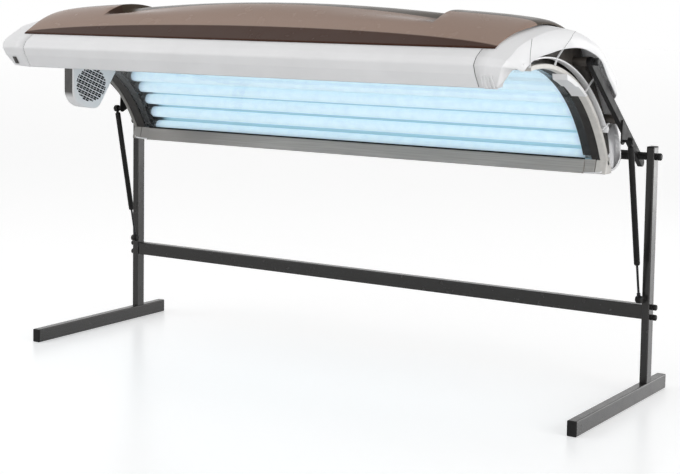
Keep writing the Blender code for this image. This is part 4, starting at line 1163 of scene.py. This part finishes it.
def end_clip():
    """Two moulded blocks, thin and then thick, under the right arch frame."""
    low, high = (corner.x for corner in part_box("end_clip"))
    outline = arc(INNER_C, FRAME_IN_R - GAP, 57.0, 75.0, 24)
    outline += arc(INNER_C, FRAME_IN_R - 0.016, 74.0, 67.0, 2)
    outline += arc(INNER_C, FRAME_IN_R - 0.010, 65.0, 58.0, 2)
    stand_in("end_clip", prism(outline, low, high), "white_plastic", sharp=12.0, bevel=0.0012)


def lamps():
    """Glass tubes with a drawn-in end, a metal ferrule and two pins at each end."""
    end = LAMP_HALF
    tip = (end - 0.020, AXIS_R)
    half = [(end - 0.020, 0.0165), (end - 0.0215, 0.0180), (end - 0.026, LAMP_R)]
    glass = [(-x, r) for x, r in [tip] + half] + half[::-1] + [tip]
    ferrule = closed([(end - 0.0205, FERRULE_R), (end, FERRULE_R)], 0.0012)
    pin = softened([(end - 0.001, 0.0003), (end - 0.001, 0.0012), (end + 0.0066, 0.0012),
                    (end + 0.0066, 0.0003)], 0.0005)
    for i, a in enumerate(LAMP_ANGLES, 1):
        y, z = polar(INNER_C, LAMP_RING_R, a)
        stand_in("lamp_%02d" % i, spindle(glass, (y, z)), "lamp_glass")
        bm = bmesh.new()
        for sign in (-1, 1):
            spindle(ferrule, (y, z), sign, sides=32, bm=bm)
            for step in (-0.006, 0.006):
                spindle(pin, (y + step, z), sign, sides=12, bm=bm)
        piece("lamp_%02d_ends" % i, bm, "zinc_plate")


def canopy():
    front_lip()
    rear_profile()
    skins()
    top_shield()
    lamps()
    for side, sign in SIDES:
        end_cap(side, sign)
        end_plate(side, sign)
        arch_trim(side, sign)
    end_clip()
    lip_ridges()
    lip_slot()


# Face fan

FAN_AT = JOINTS["fan_spin"]["pos_m"]
FAN_AXIS = JOINTS["fan_spin"]["axis"]
FAN_DEPTH = 0.052
FAN_FRONT = FAN_DEPTH / 2
FAN_COVER_T = 0.010
FAN_WALL = 0.003
POD_FRONT = 0.104
POD_BREADTH = 0.176
GRILLE_R = 0.062
SLOT_TILT = -24.0
SLOT_BAND = 0.0154      # pitch of the double rows
SLOT_APART = 0.0033     # each row from the middle of its band
SLOT_PITCH = 0.0136
SLOT_SIZE = (0.0127, 0.0057)
SLOT_LEAST = 0.0030
SCREWS = ((-0.040, -0.046), (0.076, 0.014))
STRUT = ((-0.060, -0.006), (0.070, -0.006), (0.070, 0.006), (-0.060, 0.006))
BLADES = 7
BLADE_SECTION = ((-0.0090, -0.0007), (0.0090, -0.0007), (0.0090, 0.0007), (-0.0090, 0.0007))


def fan_point(x, t, h):
    """Point from the fan's own depth, breadth and height."""
    c, s = FAN_AXIS[0], FAN_AXIS[1]
    return (FAN_AT[0] + x * c - t * s, FAN_AT[1] + x * s + t * c, FAN_AT[2] + h)


def fan_block(loop, x0, x1, bm=None):
    """Loop of breadths and heights drawn out between two depths."""
    return solid([[fan_point(x, *p) for p in loop] for x in (x0, x1)], bm)


def spun(u, v, angle):
    """Point of the fan's face turned about its axis."""
    c, s = math.cos(angle), math.sin(angle)
    return (u * c - v * s, u * s + v * c)


def pod_outline():
    """Pod's outline about the fan's axis; its top follows the inside of the arch frame."""
    loop = []
    for i in range(19):
        t = POD_FRONT - POD_BREADTH * i / 18
        y = FAN_AT[1] + t * FAN_AXIS[0] + FAN_FRONT * abs(FAN_AXIS[1]) - INNER_C[0]
        loop.append((t, INNER_C[1] + math.sqrt((FRAME_IN_R - GAP) ** 2 - y * y) - FAN_AT[2]))
    return loop + arc((-0.010, -0.020), 0.062, 180, 262, 20) + arc((0.012, -0.051), 0.034, 270, 325, 12)


def pod(loop, steps):
    """Solid through the pod's outline at depths, each drawn in by its own inset."""
    rows = []
    for x, inset in steps:
        drawn_in = offset([loop[-1]] + loop + [loop[0]], -inset)[1:-1] if inset else loop
        rows.append([fan_point(x, *p) for p in drawn_in])
    return solid(rows)


def fan_slots():
    """Boxes through the cover: double rows of short slots inside the round grille."""
    bm = bmesh.new()
    turn = math.radians(SLOT_TILT)
    length, height = SLOT_SIZE
    for row in range(-8, 8):
        v = (row // 2 + 0.5) * SLOT_BAND + (SLOT_APART if row % 2 else -SLOT_APART)
        edge = math.sqrt(max(0.0, GRILLE_R ** 2 - (abs(v) + height / 2) ** 2))
        for column in range(-6, 6):
            u = (column + 0.5) * SLOT_PITCH
            low, high = max(u - length / 2, -edge), min(u + length / 2, edge)
            if high - low < SLOT_LEAST:
                continue
            below, above = v - height / 2, v + height / 2
            corners = ((low, below), (high, below), (high, above), (low, above))
            fan_block([spun(*p, turn) for p in corners], 0.020, 0.045, bm)
    return bm


def without(bm, tool):
    """The first shape less the second."""
    objects = []
    for name, shape in (("kept", bm), ("tool", tool)):
        mesh = bpy.data.meshes.new(name)
        shape.to_mesh(mesh)
        shape.free()
        objects.append(bpy.data.objects.new(name, mesh))
        bpy.context.scene.collection.objects.link(objects[-1])
    cut = objects[0].modifiers.new("cut", "BOOLEAN")
    cut.operation = "DIFFERENCE"
    cut.solver = "EXACT"
    cut.object = objects[1]
    bpy.context.view_layer.update()
    done = objects[0].evaluated_get(bpy.context.evaluated_depsgraph_get())
    out = bmesh.new()
    out.from_mesh(done.to_mesh())
    for obj in objects:
        bpy.data.objects.remove(obj)
    return out


def fan_pod():
    """Slotted cover, housing with a dark liner, two screws, and the motor on its strut."""
    loop = pod_outline()
    front, wall = FAN_FRONT, FAN_WALL
    face = front + FAN_COVER_T
    cover = pod(loop, (
        (face - 0.0016, 0.0060), (face - 0.0040, 0.0026), (front + GAP, 0.0024), (front + GAP, 0.0),
        (face - 0.0045, 0.0), (face - 0.0020, 0.0008), (face - 0.0006, 0.0024), (face, 0.0052)))
    stand_in("fan_cover", without(cover, fan_slots()), "white_plastic")
    housing = pod(loop, (
        (-front, 0.0045), (0.0008 - front, 0.0018), (0.0030 - front, 0.0), (front, 0.0), (front, wall),
        (0.0040 - front, wall)))
    stand_in("fan_housing", housing, "fan_shell")
    liner = pod(loop, ((0.0045 - front, 0.0032), (front, 0.0032), (front, 0.0040), (0.0052 - front, 0.0040)))
    piece("fan_liner", liner, "black_plastic")
    back, proud = face - 0.0012, face - 0.0002
    head = softened([(back, 0.0003), (back, 0.0034), (proud, 0.0034), (proud, 0.0003)], 0.0004)
    for i, at in enumerate(SCREWS, 1):
        piece("fan_screw_%d" % i, lathe(head, fan_point(0.0, *at), FAN_AXIS, sides=20), "dark_steel")
    bm = fan_block(STRUT, 0.0042 - front, 0.0062 - front)
    body = closed([(0.003 - front, 0.020), (-0.004, 0.020), (-0.004, 0.003), (0.010, 0.003)], 0.001)
    lathe(body, FAN_AT, FAN_AXIS, bm=bm)
    stand_in("fan_motor", bm, "dark_panel")


def fan_rotor():
    """Domed hub with twisted blades."""
    hub = softened([(-0.0035, 0.0032), (-0.0035, 0.021), (0.013, 0.021), (0.0168, 0.015),
                    (0.0168, 0.0032)], 0.0015)
    bm = lathe(hub, FAN_AT, FAN_AXIS)
    steps = 8
    for i in range(BLADES):
        turn = 2 * math.pi * i / BLADES
        rows = []
        for k in range(steps + 1):
            r = 0.0195 + 0.036 * k / steps
            pitch = math.radians(42.0 - 14.0 * k / steps)
            row = []
            for along, thick in BLADE_SECTION:
                x = 0.0055 + along * math.sin(pitch) + thick * math.cos(pitch)
                t = along * math.cos(pitch) - thick * math.sin(pitch)
                row.append(fan_point(x, *spun(t, r, turn)))
            rows.append(row)
        solid(rows, bm)
    stand_in("fan_rotor", bm, "black_plastic", "fan_rotor")


# Camera, floor and light

CAMERA_AT = (2.7707, -4.1942, 1.2200)
CAMERA_AZIMUTH = 32.499
CAMERA_ELEVATION = 4.93
CAMERA_ROLL = 0.863
CAMERA_LENS = 81.69
CAMERA_SHIFT = -0.15


def camera():
    az, el, roll = (math.radians(v) for v in (CAMERA_AZIMUTH, CAMERA_ELEVATION, CAMERA_ROLL))
    back = Vector((math.sin(az) * math.cos(el), -math.cos(az) * math.cos(el), math.sin(el)))
    right = Vector((math.cos(az), math.sin(az), 0.0))
    up = back.cross(right)
    side = right * math.cos(roll) + up * math.sin(roll)
    top = up * math.cos(roll) - right * math.sin(roll)
    data = bpy.data.cameras.new("camera")
    data.sensor_width = 36.0
    data.lens = CAMERA_LENS
    data.shift_y = CAMERA_SHIFT
    obj = bpy.data.objects.new("camera", data)
    turn = Matrix((side, top, back)).transposed().to_4x4()
    obj.matrix_world = Matrix.Translation(CAMERA_AT) @ turn
    bpy.context.scene.collection.objects.link(obj)
    bpy.context.scene.camera = obj


WHITE = (1.0, 1.0, 1.0, 1.0)
WORLD_LEVEL = 0.34
FLOOR_GLOW = 0.43
FLOOR_COLOUR = 0.70


def world():
    studio = bpy.data.worlds.new("studio")
    bpy.context.scene.world = studio
    studio.use_nodes = True
    graph = Graph(studio.node_tree)
    level = graph.span(graph.seen(), 0.0, 1.0, WORLD_LEVEL, 1.0)
    graph.fill(graph.nodes["Background"], Color=WHITE, Strength=level)


def floor():
    bpy.ops.mesh.primitive_circle_add(vertices=96, radius=40.0, fill_type="NGON",
                                      location=(0.0, 0.0, -0.0005))
    obj = bpy.context.object
    obj.name = "floor"
    f = Finish("floor")
    f.look((FLOOR_COLOUR, FLOOR_COLOUR, FLOOR_COLOUR, 1.0), 0.28, Specular_IOR_Level=0.25,
           Emission_Color=WHITE)
    f.set(Emission_Strength=f.math("MULTIPLY", f.seen(), FLOOR_GLOW))
    obj.data.materials.append(f.mat)


def softbox(name, at, target, size, power):
    data = bpy.data.lights.new(name, "AREA")
    data.shape = "RECTANGLE"
    data.size, data.size_y = size
    data.energy = power
    obj = bpy.data.objects.new(name, data)
    obj.location = at
    obj.rotation_euler = (Vector(target) - Vector(at)).to_track_quat("-Z", "Y").to_euler()
    bpy.context.scene.collection.objects.link(obj)


def lights():
    middle = (0.0, 0.0, 0.8)
    softbox("key", (5.2, -1.0, 1.7), (0.6, 0.0, 0.8), (2.6, 2.6), 100.0)
    softbox("top", (-1.8, -1.0, 4.2), middle, (4.5, 3.0), 40.0)
    softbox("fill", (-4.0, -3.6, 3.0), middle, (2.5, 2.5), 56.0)
    softbox("low", (2.2, -5.4, 0.9), (-0.4, 0.0, 0.9), (2.4, 1.2), 55.0)
    softbox("side", (2.8, 4.4, 1.0), (1.0, 0.3, 0.5), (2.2, 2.0), 42.0)


stand()
linkage()
canopy()
fan_pod()
fan_rotor()
NODES["ballast_tray"].data.materials.clear()
NODES["ballast_tray"].data.materials.append(MATS["zinc_plate"])
camera()
world()
floor()
lights()
bpy.context.scene.view_settings.view_transform = "Standard"
